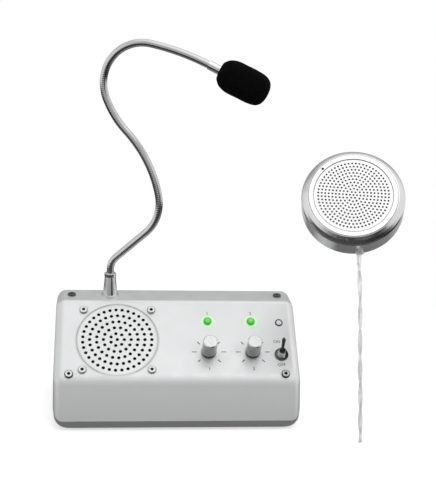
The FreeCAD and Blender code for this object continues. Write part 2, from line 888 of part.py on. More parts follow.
def make_feet():
    """Four screwed feet near the corners, and a plain pad that keeps the tray's middle from bowing."""
    profile = [
        (0, d.foot_dish_depth), (d.foot_dish_radius, d.foot_dish_depth), (d.foot_dish_radius, 0),
        (d.foot_radius - d.foot_dish_depth, 0), (d.foot_radius, d.foot_dish_depth),
        (d.foot_radius, d.foot_height), (0, d.foot_height)]
    master = turned("foot", profile)
    across = HALF_WIDTH - d.foot_from_side
    back = BASE_DEPTH / 2 - d.foot_from_edge
    spots = [shift(a * across, b * back, 0) for a in (-1, 1) for b in (-1, 1)]
    plain = cylinder("middle_pad", d.foot_radius, d.foot_height, Placement())
    feet = document.addObject("Part::Compound", "all_feet")
    feet.Links = [group("corner_feet", master, spots), plain]
    keep("rubber_feet", feet)


def make_screw():
    """Pan-head screw whose head sits at its own zero height."""
    body = turned("screw", [
        (0, -(d.screw_length + d.cover_wall) + d.overrun),
        (d.screw_radius, -(d.screw_length + d.cover_wall) + d.overrun),
        (d.screw_radius, 0),
        (d.screw_head_radius, 0),
        (d.screw_head_radius, d.screw_head_height - d.screw_head_edge),
        (d.screw_head_radius - d.screw_head_edge, d.screw_head_height),
        (0, d.screw_head_height)])
    recess = new_sketch(body, "recess", "XY_Plane", shift(0, 0, d.screw_head_height))
    draw_cross(recess, d.screw_slot_span, d.screw_slot_width)
    pocket(body, recess, d.screw_slot_depth)
    return body


def make_screws():
    screw = make_screw()
    fronts = [on_panel(side * COVER_SCREW_ACROSS, d.front_screw_up) for side in (-1, 1)]
    keep("front_cover_screws", group("front_screws", screw, fronts))
    tops = [shift(side * COVER_SCREW_ACROSS, TOP_SCREW_BACK, COVER_TOP) for side in (-1, 1)]
    keep("top_cover_screws", group("top_screws", screw, tops))
    corners = [SPEAKER.multiply(shift(a, b, 0)) for a, b in SPEAKER_CORNERS]
    keep("speaker_screws", group("grille_screws", screw, corners))
    nut = new_body("screw_nut")
    sketch = new_sketch(nut, "flats", "XY_Plane")
    draw_hexagon(sketch, d.nut_flats)
    draw_circle(sketch, 0, 0, PILOT_RADIUS)
    pad(nut, sketch, d.nut_height, reverse=True)
    under = -(d.cover_wall + d.cloth_thickness + d.speaker_flange_thickness)
    seats = [SPEAKER.multiply(shift(a, b, under)) for a, b in SPEAKER_CORNERS]
    keep("speaker_nuts", group("grille_nuts", nut, seats))


def make_speaker():
    """Loudspeaker behind the grille: cloth, flanged basket, paper cone and magnet."""
    cloth_low = -(d.cover_wall + d.cloth_thickness)
    keep("speaker_cloth", turned(
        "cloth", ring_profile(0, d.cloth_radius, cloth_low, -d.cover_wall), SPEAKER))
    flange_low = cloth_low - d.speaker_flange_thickness
    half = d.speaker_flange / 2
    circles = [(a, b, HOLE_RADIUS) for a, b in SPEAKER_CORNERS] + [(0, 0, d.speaker_throat_radius)]
    square = [(-half, -half), (half, -half), (half, half), (-half, half)]
    flange = plate(
        "speaker_flange_plate", square, flange_low, d.speaker_flange_thickness, SPEAKER, circles,
        d.speaker_flange_round)
    foot = flange_low - d.basket_depth
    basket = turned("speaker_basket", [
        (d.speaker_throat_radius, flange_low),
        (d.basket_top_radius, flange_low),
        (d.basket_foot_radius + d.basket_wall, foot),
        (0, foot),
        (0, foot + d.basket_wall),
        (d.basket_foot_radius, foot + d.basket_wall)], SPEAKER)
    keep("speaker_frame", fused("speaker_chassis", [flange, basket]))
    magnet_low = foot - d.magnet_height
    keep("speaker_magnet", turned("magnet", [
        (0, foot), (d.magnet_radius, foot), (d.magnet_radius, magnet_low),
        (d.yoke_radius, magnet_low), (d.yoke_radius, magnet_low - d.yoke_height),
        (0, magnet_low - d.yoke_height)], SPEAKER))
    rim = flange_low - d.cone_set_back
    bottom = rim - d.cone_depth
    voice_coil_foot = foot + d.basket_wall
    keep("speaker_cone", turned("cone", [
        (0, bottom + d.cone_wall),
        (d.cone_foot_radius, bottom + d.cone_wall),
        (d.cone_rim_radius, rim),
        (d.cone_rim_radius, rim - d.cone_wall),
        (d.cone_foot_radius, bottom),
        (d.cone_foot_radius, voice_coil_foot),
        (d.cone_foot_radius - d.cone_wall, voice_coil_foot),
        (d.cone_foot_radius - d.cone_wall, bottom),
        (0, bottom)], SPEAKER))


BOARD_TOP = -d.board_depth
BOARD_LOW = BOARD_TOP - d.board_thickness
BOARD_LEFT = CONTROLS_LEFT + CONTROLS_SPAN * BOARD_LEFT_SHARE
BOARD_RIGHT = HALF_WIDTH - d.board_from_side
BOARD_HEAD = d.board_foot + d.board_length
STUDS = [
    (BOARD_LEFT + d.board_screw_inset, d.board_foot + d.board_screw_inset),
    (BOARD_LEFT + d.board_screw_inset, BOARD_HEAD - d.board_screw_inset),
    (BOARD_RIGHT - d.board_screw_inset, d.board_foot + d.board_screw_inset),
    (BOARD_RIGHT - d.board_screw_inset, BOARD_HEAD - d.board_screw_inset)]


def make_board():
    """Circuit board on four studs under the panel, with the amplifier on its underside."""
    outline = [
        (BOARD_LEFT, d.board_foot), (BOARD_RIGHT, d.board_foot),
        (BOARD_RIGHT, BOARD_HEAD), (BOARD_LEFT, BOARD_HEAD)]
    holes = [(a, b, d.stud_screw_radius + d.screw_pilot_play) for a, b in STUDS]
    keep("control_board", plate("board", outline, BOARD_LOW, d.board_thickness, PANEL, holes))
    stud = turned("stud", ring_profile(
        d.stud_screw_radius + d.screw_pilot_play, d.stud_radius, BOARD_TOP, -d.cover_wall))
    keep("board_studs", group("studs", stud, [on_panel(a, b) for a, b in STUDS]))
    screw_top = BOARD_LOW + d.stud_screw_length
    head_low = BOARD_LOW - d.stud_screw_head_height
    screw = turned("board_screw", [
        (0, head_low), (d.stud_screw_head_radius, head_low), (d.stud_screw_head_radius, BOARD_LOW),
        (d.stud_screw_radius, BOARD_LOW), (d.stud_screw_radius, screw_top), (0, screw_top)])
    keep("board_screws", group("board_screw_set", screw, [on_panel(a, b) for a, b in STUDS]))

    middle = (KNOBS["left"] + KNOBS["right"]) / 2
    up = d.board_foot + d.component_up
    chip = box(
        "amplifier_chip", d.chip_width, d.chip_depth, d.chip_height,
        on_panel(middle - d.chip_width / 2, up, BOARD_LOW - d.chip_height))
    caps = []
    for index in range(CAPACITORS):
        across = middle + (index - 1) * d.capacitor_pitch
        caps.append(cylinder(
            "capacitor_%d" % index, d.capacitor_radius, d.capacitor_height,
            on_panel(across, up - 2 * d.capacitor_radius, BOARD_LOW - d.capacitor_height)))
    parts = document.addObject("Part::Compound", "board_parts")
    parts.Links = [chip] + caps
    keep("amplifier_parts", parts)

    sink = new_body("sink")
    back = new_sketch(sink, "comb", "XY_Plane", shift(0, 0, BOARD_LOW - d.chip_height))
    base_up = up + d.chip_depth
    left = middle - d.chip_width / 2
    corners = [(left, base_up), (left + d.chip_width, base_up)]
    for fin in range(FINS - 1, -1, -1):
        fin_left = left + fin * (d.chip_width - d.fin_thickness) / (FINS - 1)
        fin_right = fin_left + d.fin_thickness
        root = base_up + d.fin_pitch
        tip = root + d.fin_height
        if fin < FINS - 1:
            corners.append((fin_right, root))
        corners += [(fin_right, tip), (fin_left, tip)]
        if fin > 0:
            corners.append((fin_left, root))
    draw_outline(back, corners)
    pad(sink, back, d.chip_height)
    sink.Placement = PANEL
    keep("heat_sink", sink)


def make_volume_controls():
    """Two potentiometers on the board, each with its shaft and an aluminium knob."""
    half = d.pot_width / 2
    square = [(-half, -half), (half, -half), (half, half), (-half, half)]
    shaft_low = BOARD_TOP + d.pot_height / 2
    running = d.pot_shaft_radius + d.pot_play
    bushing_top = -d.knob_gap
    knob_low = d.knob_gap
    knob_top = knob_low + d.knob_height
    bore_top = knob_low + d.knob_bore_depth
    for side, across in KNOBS.items():
        spot = on_panel(across, d.knob_up)
        case = plate(
            "pot_case_" + side, square, BOARD_TOP, d.pot_height, spot, (), d.pot_round)
        bushing = turned("pot_bushing_" + side, [
            (0, BOARD_TOP + d.pot_height), (d.pot_bushing_radius, BOARD_TOP + d.pot_height),
            (d.pot_bushing_radius, bushing_top), (0, bushing_top)], spot)
        bore = cylinder(
            "pot_bore_" + side, running, bushing_top - shaft_low + d.overrun,
            spot.multiply(shift(0, 0, shaft_low)))
        solid = fused("pot_solid_" + side, [case, bushing])
        keep("volume_pot_" + side, cut("pot_" + side, solid, bore))
        keep("pot_shaft_" + side, turned("shaft_" + side, ring_profile(
            0, d.pot_shaft_radius, shaft_low + d.pot_play, bore_top), spot))
        knob = turned("knob_body_" + side, [
            (d.pot_shaft_radius, knob_low),
            (d.knob_radius, knob_low),
            (d.knob_radius, knob_low + d.knob_skirt_height),
            (d.knob_radius - d.knob_waist, knob_low + d.knob_skirt_height + d.knob_waist),
            (d.knob_radius - d.knob_waist, knob_top - d.knob_edge),
            (d.knob_radius - d.knob_waist - d.knob_edge, knob_top),
            (0, knob_top),
            (0, bore_top),
            (d.pot_shaft_radius, bore_top)], spot)
        line = new_sketch(knob, "pointer", "XY_Plane", shift(0, 0, knob_top))
        reach = d.knob_radius - d.knob_waist
        half_line = d.pointer_width / 2
        draw_rectangle(line, -half_line, reach * POINTER_START_SHARE, half_line, reach + d.overrun)
        pocket(knob, line, d.pointer_depth)
        keep("knob_" + side, knob)


def make_lamps():
    """Green lenses over the board's two lamps, and a small clear power lamp in a dark ring."""
    for side, across in KNOBS.items():
        spot = on_panel(across, d.lamp_up)
        shoulder = d.lamp_rise / 3
        dome = [(d.lamp_radius * wide, d.lamp_rise * high) for wide, high in LENS_SHARES]
        keep("lamp_lens_" + side, turned("lens_" + side, [
            (0, BOARD_TOP), (d.lamp_stem_radius, BOARD_TOP), (d.lamp_stem_radius, 0),
            (d.lamp_radius, 0), (d.lamp_radius, shoulder)] + dome + [(0, d.lamp_rise)], spot))
    holder_low = BOARD_TOP
    holder = turned("lamp_holder", ring_profile(
        d.lamp_stem_radius + d.light_fit, d.lamp_holder_radius, holder_low,
        holder_low + d.lamp_holder_height))
    spots = [on_panel(across, d.lamp_up) for across in KNOBS.values()]
    keep("lamp_holders", group("lamp_holder_pair", holder, spots))
    power = on_panel(POWER_ACROSS, d.power_up)
    wide, high = POWER_LENS_SHARES
    keep("power_lamp", turned("power_lens", [
        (0, BOARD_TOP), (d.power_radius, BOARD_TOP), (d.power_radius, d.power_ring_rise),
        (d.power_radius * wide, d.power_rise * high), (0, d.power_rise)], power))
    keep("power_lamp_ring", turned("power_ring", ring_profile(
        d.power_radius + d.light_fit, d.power_ring_radius, 0, d.power_ring_rise), power))


def make_switch():
    """Toggle switch: case, threaded bushing, washer, hexagon nut and tilting lever."""
    spot = on_panel(SWITCH_ACROSS, d.switch_up)
    inner = d.switch_bushing_radius - d.switch_bushing_wall
    floor = d.lever_pivot_rise - d.lever_ball_radius - d.lever_play
    case_low = -(d.cover_wall + d.switch_depth)
    case = box(
        "switch_box", d.switch_width, d.switch_length, d.switch_depth,
        spot.multiply(shift(-(d.switch_width / 2), -(d.switch_length / 2), case_low)))
    bushing = turned("switch_bushing", [
        (0, -d.cover_wall), (d.switch_bushing_radius, -d.cover_wall),
        (d.switch_bushing_radius, d.switch_bushing_rise), (inner, d.switch_bushing_rise),
        (inner, floor), (0, floor)], spot)
    legs = []
    leg_side = d.switch_bushing_wall * 2
    leg_length = d.board_depth - d.cover_wall - d.switch_depth
    for index in (-1, 0, 1):
        legs.append(box(
            "switch_leg_%d" % (index + 1), leg_side, leg_side, leg_length,
            spot.multiply(shift(
                -(leg_side / 2), index * d.switch_length / 3 - leg_side / 2, BOARD_TOP))))
    keep("switch_body", fused("switch_solid", [case, bushing] + legs))
    washer_top = d.switch_washer_thickness
    keep("switch_washer", turned("washer", ring_profile(
        d.switch_bushing_radius + d.light_fit, d.switch_washer_radius, 0, washer_top), spot))
    nut = new_body("switch_hexagon")
    sketch = new_sketch(nut, "flats", "XY_Plane", shift(0, 0, washer_top))
    draw_hexagon(sketch, d.switch_nut_flats)
    draw_circle(sketch, 0, 0, d.switch_bushing_radius + d.screw_pilot_play)
    pad(nut, sketch, d.switch_nut_height)
    nut.Placement = spot
    keep("switch_nut", nut)

    ball = d.lever_ball_radius
    tip = d.lever_reach
    tip_round = d.lever_tip_radius
    tip_wide, tip_back = LEVER_TIP_SHARES
    lever = spot.multiply(shift(0, 0, d.lever_pivot_rise)).multiply(turn(X_AXIS, -d.lever_tilt))
    keep("toggle_lever", turned("lever", [
        (ball * wide, ball * high) for wide, high in LEVER_BALL_SHARES] + [
        (d.lever_root_radius, ball * LEVER_NECK_SHARE), (tip_round, tip - tip_round),
        (tip_round * tip_wide, tip - tip_round * tip_back), (0, tip)], lever))


def make_sockets():
    """Power inlet and the outside unit's jack, in the back of the cover."""
    def rear(across):
        return shift(across, COVER_BACK, d.socket_height).multiply(turn(X_AXIS, -90))

    inlet = turned("inlet_shell", [
        (d.inlet_bore_radius, 0), (d.inlet_bore_radius, -d.inlet_pin_length),
        (0, -d.inlet_pin_length), (0, -d.inlet_length), (d.inlet_radius, -d.inlet_length),
        (d.inlet_radius, 0), (d.inlet_flange_radius, 0),
        (d.inlet_flange_radius, d.inlet_flange_thickness),
        (d.inlet_bore_radius, d.inlet_flange_thickness)], rear(INLET_ACROSS))
    keep("power_inlet", inlet)
    keep("power_inlet_pin", turned("inlet_pin", ring_profile(
        0, d.inlet_pin_radius, -d.inlet_pin_length, 0), rear(INLET_ACROSS)))
    keep("outside_unit_jack", turned("jack", [
        (d.jack_bore_radius, d.jack_flange_thickness), (d.jack_bore_radius, -d.jack_length),
        (d.jack_radius, -d.jack_length), (d.jack_radius, 0), (d.jack_flange_radius, 0),
        (d.jack_flange_radius, d.jack_flange_thickness)], rear(JACK_ACROSS)))


# The gooseneck's stretches, walked in its own upright plane: X across the plane, Y up
NECK = shift(NECK_ACROSS, NECK_BACK, COVER_TOP).multiply(
    turn(Z_AXIS, -d.neck_yaw)).multiply(turn(X_AXIS, 90))


def step_forward(spot, length):
    """Go straight on from a placement whose X axis is the heading."""
    return spot.multiply(shift(length, 0, 0))


def step_round(spot, radius, angle):
    """Go round an arc, to the left for a positive angle."""
    side = 1 if as_size(angle).value > 0 else -1
    centre = shift(0, side * radius, 0)
    back = shift(0, -side * radius, 0)
    return spot.multiply(centre).multiply(turn(Z_AXIS, angle)).multiply(back)


NECK_ROOT = NECK.multiply(shift(0, d.ferrule_height, 0)).multiply(turn(Z_AXIS, 90))
LOWER_BEND_END = step_round(NECK_ROOT, d.lower_bend_radius, -d.lower_bend_turn)
SIDE_JOINT = step_forward(LOWER_BEND_END, d.lower_run)
SIDE_EASE_START = step_round(SIDE_JOINT, d.side_bend_radius, d.side_bend_turn)
MIDDLE_JOINT = step_round(SIDE_EASE_START, d.side_ease_radius, d.side_ease_turn)
TOP_BEND_START = step_round(MIDDLE_JOINT, d.top_ease_radius, -d.top_ease_turn)
TOP_JOINT = step_round(TOP_BEND_START, d.top_bend_radius, -d.top_bend_turn)
NECK_END = step_round(TOP_JOINT, d.mic_bend_radius, -d.mic_bend_turn)


def arc_tube(label, spot, radius, angle):
    """A stretch of neck that bends, from a placement whose X axis is the heading."""
    side = 1 if angle.value > 0 else -1
    body = new_body(label)
    sketch = new_sketch(body, "section", "YZ_Plane")
    draw_circle(sketch, 0, 0, d.neck_radius)
    draw_circle(sketch, 0, 0, d.neck_bore_radius)
    axis_line = sketch.addGeometry(Part.LineSegment(
        Vector(side * radius.value, 0, 0), Vector(side * radius.value, radius.value, 0)), True)
    hold(sketch, "DistanceX", axis_line, 1, side * radius)
    hold(sketch, "DistanceY", axis_line, 1, as_size(0))
    hold(sketch, "DistanceX", axis_line, 2, side * radius)
    hold(sketch, "DistanceY", axis_line, 2, radius)
    feature = body.newObject("PartDesign::Revolution", label + "_bent")
    feature.Profile = sketch
    feature.ReferenceAxis = (sketch, ["Axis0"])
    feature.setExpression("Angle", (side * angle).text)
    feature.Reversed = side < 0
    body.Tip = feature
    body.Placement = spot
    return body


def straight_tube(label, spot, length):
    """A straight stretch of neck, along the placement's X axis."""
    body = new_body(label)
    sketch = new_sketch(body, "section", "YZ_Plane")
    draw_circle(sketch, 0, 0, d.neck_radius)
    draw_circle(sketch, 0, 0, d.neck_bore_radius)
    pad(body, sketch, length)
    body.Placement = spot
    return body


BALL_RADIUS = d.neck_radius - d.ball_step


def ball_end(label, spot):
    """The round end of a stretch, about a joint."""
    item = document.addObject("Part::Sphere", label)
    item.setExpression("Radius", BALL_RADIUS.text)
    item.Placement = spot
    return item


def socket_end(label, spot):
    """The ball-shaped space that the next stretch starts with."""
    item = document.addObject("Part::Sphere", label)
    item.setExpression("Radius", (BALL_RADIUS + d.socket_play).text)
    item.Placement = spot
    return item


def make_neck():
    """Ferrule, its nut, and the neck's five stretches with a ball joint between each two."""
    ferrule_spot = shift(NECK_ACROSS, NECK_BACK, COVER_TOP)
    bore = d.neck_radius + d.ferrule_fit
    bead_low = d.ferrule_height - d.neck_radius - d.ferrule_bead_height
    bead_high = d.ferrule_height - d.neck_radius
    bead_edge = d.ferrule_bead_radius - d.ferrule_waist_radius
    keep("neck_ferrule", turned("ferrule", [
        (bore, bead_high),
        (bore, -d.ferrule_thread_length),
        (d.ferrule_thread_radius, -d.ferrule_thread_length),
        (d.ferrule_thread_radius, 0),
        (d.ferrule_flange_radius, 0),
        (d.ferrule_flange_radius, d.ferrule_flange_height),
        (d.ferrule_foot_radius, d.ferrule_flange_height + bead_edge),
        (d.ferrule_waist_radius, bead_low),
        (d.ferrule_bead_radius, bead_low + bead_edge),
        (d.ferrule_bead_radius, bead_high - bead_edge),
        (d.ferrule_waist_radius, bead_high)], ferrule_spot))
    nut = new_body("ferrule_hexagon")
    sketch = new_sketch(nut, "flats", "XY_Plane", shift(0, 0, -d.cover_wall))
    draw_hexagon(sketch, d.ferrule_nut_flats)
    draw_circle(sketch, 0, 0, d.ferrule_thread_radius + d.screw_pilot_play)
    pad(nut, sketch, d.ferrule_nut_height, reverse=True)
    nut.Placement = ferrule_spot
    keep("neck_nut", nut)

    stub_length = d.neck_stub_sink + d.neck_radius
    stub = straight_tube("stub_run", step_forward(NECK_ROOT, -stub_length), stub_length)
    keep("neck_stub", fused("stub_with_ball", [stub, ball_end("stub_ball", NECK_ROOT)]))

    lower = fused("lower_tube", [
        arc_tube("lower_bend", NECK_ROOT, d.lower_bend_radius, -d.lower_bend_turn),
        straight_tube("lower_straight", LOWER_BEND_END, d.lower_run),
        ball_end("lower_ball", SIDE_JOINT)])
    keep("neck_lower", cut("lower_stretch", lower, socket_end("lower_socket", NECK_ROOT)))

    side = fused("side_tube", [
        arc_tube("side_bend", SIDE_JOINT, d.side_bend_radius, d.side_bend_turn),
        arc_tube("side_ease", SIDE_EASE_START, d.side_ease_radius, d.side_ease_turn),
        ball_end("side_ball", MIDDLE_JOINT)])
    keep("neck_side", cut("side_stretch", side, socket_end("side_socket", SIDE_JOINT)))

    upper = fused("upper_tube", [
        arc_tube("top_ease", MIDDLE_JOINT, d.top_ease_radius, -d.top_ease_turn),
        arc_tube("top_bend", TOP_BEND_START, d.top_bend_radius, -d.top_bend_turn),
        ball_end("upper_ball", TOP_JOINT)])
    keep("neck_upper", cut("upper_stretch", upper, socket_end("upper_socket", MIDDLE_JOINT)))

    last = arc_tube("mic_bend", TOP_JOINT, d.mic_bend_radius, -d.mic_bend_turn)
    keep("neck_mic_end", cut("mic_stretch", last, socket_end("mic_socket", TOP_JOINT)))


def make_microphone():
    """Microphone housing on the neck's end, its capsule, and the foam that pulls off it."""
    along = NECK_END.multiply(turn(Y_AXIS, 90))
    head_low = d.sleeve_length
    head_high = head_low + d.head_length
    capsule_low = head_high - d.capsule_height
    bore = d.head_radius - d.head_wall
    keep("mic_housing", turned("housing", [
        (0, 0), (d.sleeve_radius, 0), (d.sleeve_radius, head_low),
        (d.head_radius, head_low), (d.head_radius, head_high), (bore, head_high),
        (bore, capsule_low), (0, capsule_low)], along))
    keep("mic_capsule", turned("capsule", ring_profile(
        0, d.capsule_radius, capsule_low, head_high), along))
    inner = d.head_radius + d.foam_play
    start = d.foam_start
    end = start + d.foam_length
    mouth = [(d.foam_radius * a, start + d.foam_neck_length * b) for a, b in FOAM_MOUTH_SHARES]
    tip = [(d.foam_radius * wide, end - d.foam_radius * back) for wide, back in FOAM_TIP_SHARES]
    keep("foam_windscreen", turned("foam", [
        (inner, start),
        (d.foam_mouth_radius, start)] + mouth + [
        (d.foam_radius, start + d.foam_neck_length)] + tip + [
        (0, end),
        (0, head_high + d.foam_play),
        (inner, head_high + d.foam_play)], along))


# The outside unit's own frame: X to the caller's left, Y up its face, Z out of its face
OUTSIDE = shift(d.outside_across, -d.outside_forward, d.outside_height).multiply(
    turn(Z_AXIS, -d.outside_yaw)).multiply(turn(X_AXIS, 90 - d.outside_tilt))
GRILLE_SEAT = -(d.outside_grille_set_back + d.outside_grille_thickness)
SHELL_LOW = -d.outside_depth
BACK_PLATE_TOP = SHELL_LOW + d.back_plate_thickness
BACK_SCREW_ANGLES = (90, 210, 330)
BACK_SCREWS = [
    OUTSIDE.multiply(turn(Z_AXIS, angle)).multiply(shift(d.back_screw_ring, 0, 0))
    for angle in BACK_SCREW_ANGLES]
GLAND = OUTSIDE.multiply(
    shift(d.gland_across, -d.outside_radius, SHELL_LOW + d.gland_from_back)).multiply(
        turn(X_AXIS, 90))


def make_outside_shell():
    """Round shell with a flat face ring, a rounded shoulder and the ledge for the grille."""
    bore = d.outside_grille_radius + d.light_fit
    ledge = d.outside_grille_radius - d.outside_ledge_width
    ledge_low = GRILLE_SEAT - d.outside_ledge_thickness
    inside = d.outside_radius - d.outside_wall
    breadth = d.outside_radius - d.face_ring_radius
    shoulder = [
        (d.face_ring_radius + breadth * wide, -(d.face_bevel_depth * deep))
        for wide, deep in SHOULDER_SHARES]
    shell = turned("shell", [(bore, 0)] + shoulder + [
        (d.outside_radius, SHELL_LOW),
        (inside, SHELL_LOW),
        (inside, -d.face_bevel_depth - d.outside_wall),
        (d.face_ring_radius, ledge_low),
        (ledge, ledge_low),
        (ledge, GRILLE_SEAT),
        (bore, GRILLE_SEAT)])
    angle = d.pinhole_angle
    mic_across = d.pinhole_place_radius * cosine(angle)
    mic_up = d.pinhole_place_radius * sine(angle)
    pin = new_sketch(shell, "pinhole", "XY_Plane")
    draw_circle(pin, mic_across, mic_up, d.pinhole_radius)
    pocket(shell, pin, d.face_bevel_depth)
    shell.Placement = OUTSIDE
    bosses = []
    for index, spot in enumerate(BACK_SCREWS):
        bosses.append(cylinder(
            "back_boss_%d" % index, d.back_boss_radius, -BACK_PLATE_TOP - d.face_bevel_depth,
            spot.multiply(shift(0, 0, BACK_PLATE_TOP))))
    pilots = []
    for index, spot in enumerate(BACK_SCREWS):
        pilots.append(cylinder(
            "back_pilot_%d" % index, d.stud_screw_radius + d.screw_pilot_play,
            d.stud_screw_length + d.overrun, spot.multiply(shift(0, 0, BACK_PLATE_TOP))))
    gland_hole = cylinder(
        "gland_hole", d.gland_neck_radius, 2 * d.outside_wall + d.gland_rise,
        GLAND.multiply(shift(0, 0, -2 * d.outside_wall)))
    solid = fused("shell_with_bosses", [shell] + bosses)
    keep("outside_shell", cut("shell_drilled", solid, gland_hole, *pilots))
    keep("outside_mic_capsule", turned(
        "outside_capsule",
        ring_profile(0, d.outside_capsule_radius, ledge_low - d.outside_capsule_height, ledge_low),
        OUTSIDE.multiply(shift(mic_across, mic_up, 0))))


def make_outside_grille():
    disc = turned(
        "outside_disc",
        ring_profile(0, d.outside_grille_radius, GRILLE_SEAT, -d.outside_grille_set_back), OUTSIDE)
    drills = ring_drills(
        "outside_drills", OUTSIDE.multiply(shift(0, 0, -d.outside_grille_set_back)),
        d.outside_hole_radius, d.outside_grille_thickness + d.overrun, d.outside_ring_pitch,
        OUTSIDE_RINGS, OUTSIDE_RING_STEP)
    keep("outside_grille", cut("outside_grille_drilled", disc, drills))


def make_outside_inside():
    """Cloth, small loudspeaker, back plate with its screws, and the mounting pad."""
    ledge_low = GRILLE_SEAT - d.outside_ledge_thickness
    cloth_radius = d.outside_grille_radius - d.outside_ledge_width - d.light_fit
    cloth_low = GRILLE_SEAT - d.cloth_thickness
    keep("outside_cloth", turned(
        "outside_cloth_disc", ring_profile(0, cloth_radius, cloth_low, GRILLE_SEAT), OUTSIDE))
    rim_low = ledge_low - d.small_speaker_rim
    rim_outer = d.outside_grille_radius
    bowl_low = rim_low - d.small_speaker_depth
    magnet_low = bowl_low - d.small_magnet_height
    keep("outside_speaker", turned("small_speaker", [
        (d.small_speaker_radius, ledge_low),
        (rim_outer, ledge_low),
        (rim_outer, rim_low),
        (d.small_speaker_radius, rim_low),
        (d.small_magnet_radius, bowl_low),
        (d.small_magnet_radius, magnet_low),
        (0, magnet_low),
        (0, bowl_low + d.cone_wall),
        (d.small_magnet_radius, bowl_low + d.cone_wall)], OUTSIDE))
    plate_radius = d.outside_radius - d.outside_wall - d.back_plate_inset
    disc = turned("back_disc", ring_profile(0, plate_radius, SHELL_LOW, BACK_PLATE_TOP), OUTSIDE)
    holes = []
    for index, spot in enumerate(BACK_SCREWS):
        foot = spot.multiply(shift(0, 0, SHELL_LOW - d.overrun))
        holes.append(cylinder(
            "back_hole_%d" % index, d.stud_screw_radius + d.screw_hole_play,
            d.back_plate_thickness + 2 * d.overrun, foot))
        holes.append(cylinder(
            "back_sink_%d" % index, d.stud_screw_head_radius + d.screw_hole_play,
            d.stud_screw_head_height + d.overrun, foot))
    keep("outside_back_plate", cut("back_disc_drilled", disc, *holes))
    head_top = SHELL_LOW + d.stud_screw_head_height
    screw_top = head_top + d.stud_screw_length
    screw = turned("back_screw", [
        (0, SHELL_LOW), (d.stud_screw_head_radius, SHELL_LOW), (d.stud_screw_head_radius, head_top),
        (d.stud_screw_radius, head_top), (d.stud_screw_radius, screw_top), (0, screw_top)])
    keep("outside_screws", group("back_screw_set", screw, BACK_SCREWS))
    keep("mounting_pad", turned("pad_disc", ring_profile(
        0, d.pad_radius, SHELL_LOW - d.pad_thickness, SHELL_LOW), OUTSIDE))


def make_gland():
    """Rubber gland in the shell's lower wall, seated on the wall's curve."""
    neck_foot = -d.outside_wall
    gland = turned("gland_block", [
        (0, neck_foot), (d.gland_neck_radius, neck_foot), (d.gland_neck_radius, -d.overrun),
        (d.gland_radius, -d.overrun), (d.gland_radius, d.gland_rise / 2),
        (d.gland_tip_radius, d.gland_rise), (0, d.gland_rise)], GLAND)
    keep("cord_gland", cut("gland_seated", gland, NODES["outside_shell"]))


def rounded_route(points):
    """Straight runs joined by tangent arcs, each as large as its two runs allow."""
    points = [Vector(*spot) for spot in points]
    edges = []
    start = points[0]
    for before, corner, after in zip(points, points[1:], points[2:]):
        inward = (before - corner).normalize()
        onward = (after - corner).normalize()
        bend = math.pi - inward.getAngle(onward)
        reach = CORNER_SHARE * min((before - corner).Length, (after - corner).Length)
        radius = reach / math.tan(bend / 2)
        first = corner + inward * reach
        last = corner + onward * reach
        toward = (inward + onward).normalize()
        middle = corner + toward * (radius / math.cos(bend / 2) - radius)
        edges.append(Part.LineSegment(start, first).toShape())
        edges.append(Part.Arc(first, middle, last).toShape())
        print("cord turn %.1f degrees on a radius of %.1f mm" % (math.degrees(bend), radius))
        start = last
    edges.append(Part.LineSegment(start, points[-1]).toShape())
    return Part.Wire(edges)


def make_cord():
    """The outside unit's cord, which hangs from the gland to its bare end."""
    route = rounded_route(CORD_ROUTE)
    heading = Vector(*CORD_ROUTE[1]) - Vector(*CORD_ROUTE[0])
    circle = Part.Circle(Vector(*CORD_ROUTE[0]), heading, d.cord_radius.value)
    section = Part.Wire([circle.toShape()])
    tube = document.addObject("Part::Feature", "cord_tube")
    tube.Shape = route.makePipeShell([section], True, False)
    print("cord length %.1f mm" % route.Length)
    swept = route.Length * math.pi * d.cord_radius.value ** 2
    print("cord volume %.1f mm3, section times length %.1f mm3" % (tube.Shape.Volume, swept))
    keep("outside_cord", tube)


def build():
    make_top_cover()
    make_bottom_tray()
    make_feet()
    make_screws()
    make_speaker()
    make_board()
    make_volume_controls()
    make_lamps()
    make_switch()
    make_sockets()
    make_neck()
    make_microphone()
    make_outside_shell()
    make_outside_grille()
    make_outside_inside()
    make_gland()
    make_cord()


build()
document.recompute()

faults = []
for item in document.Objects:
    if "Invalid" in item.State or "Error" in item.State:
        faults.append("%s is %s" % (item.Name, item.State))
for node, item in NODES.items():
    if item.Shape.isNull() or not item.Shape.isValid() or not item.Shape.Solids:
        faults.append("%s has no valid shape" % node)
if faults:
    raise RuntimeError("; ".join(faults))

os.makedirs("parts", exist_ok=True)
for node, item in NODES.items():
    item.Shape.exportStep("parts/%s.step" % node)
    print("%-22s %2d solids %10.1f mm3" % (node, len(item.Shape.Solids), item.Shape.Volume))
print(len(NODES), "nodes")
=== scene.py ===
import json
import math

import bmesh
import bpy
from mathutils import Matrix, Vector, noise


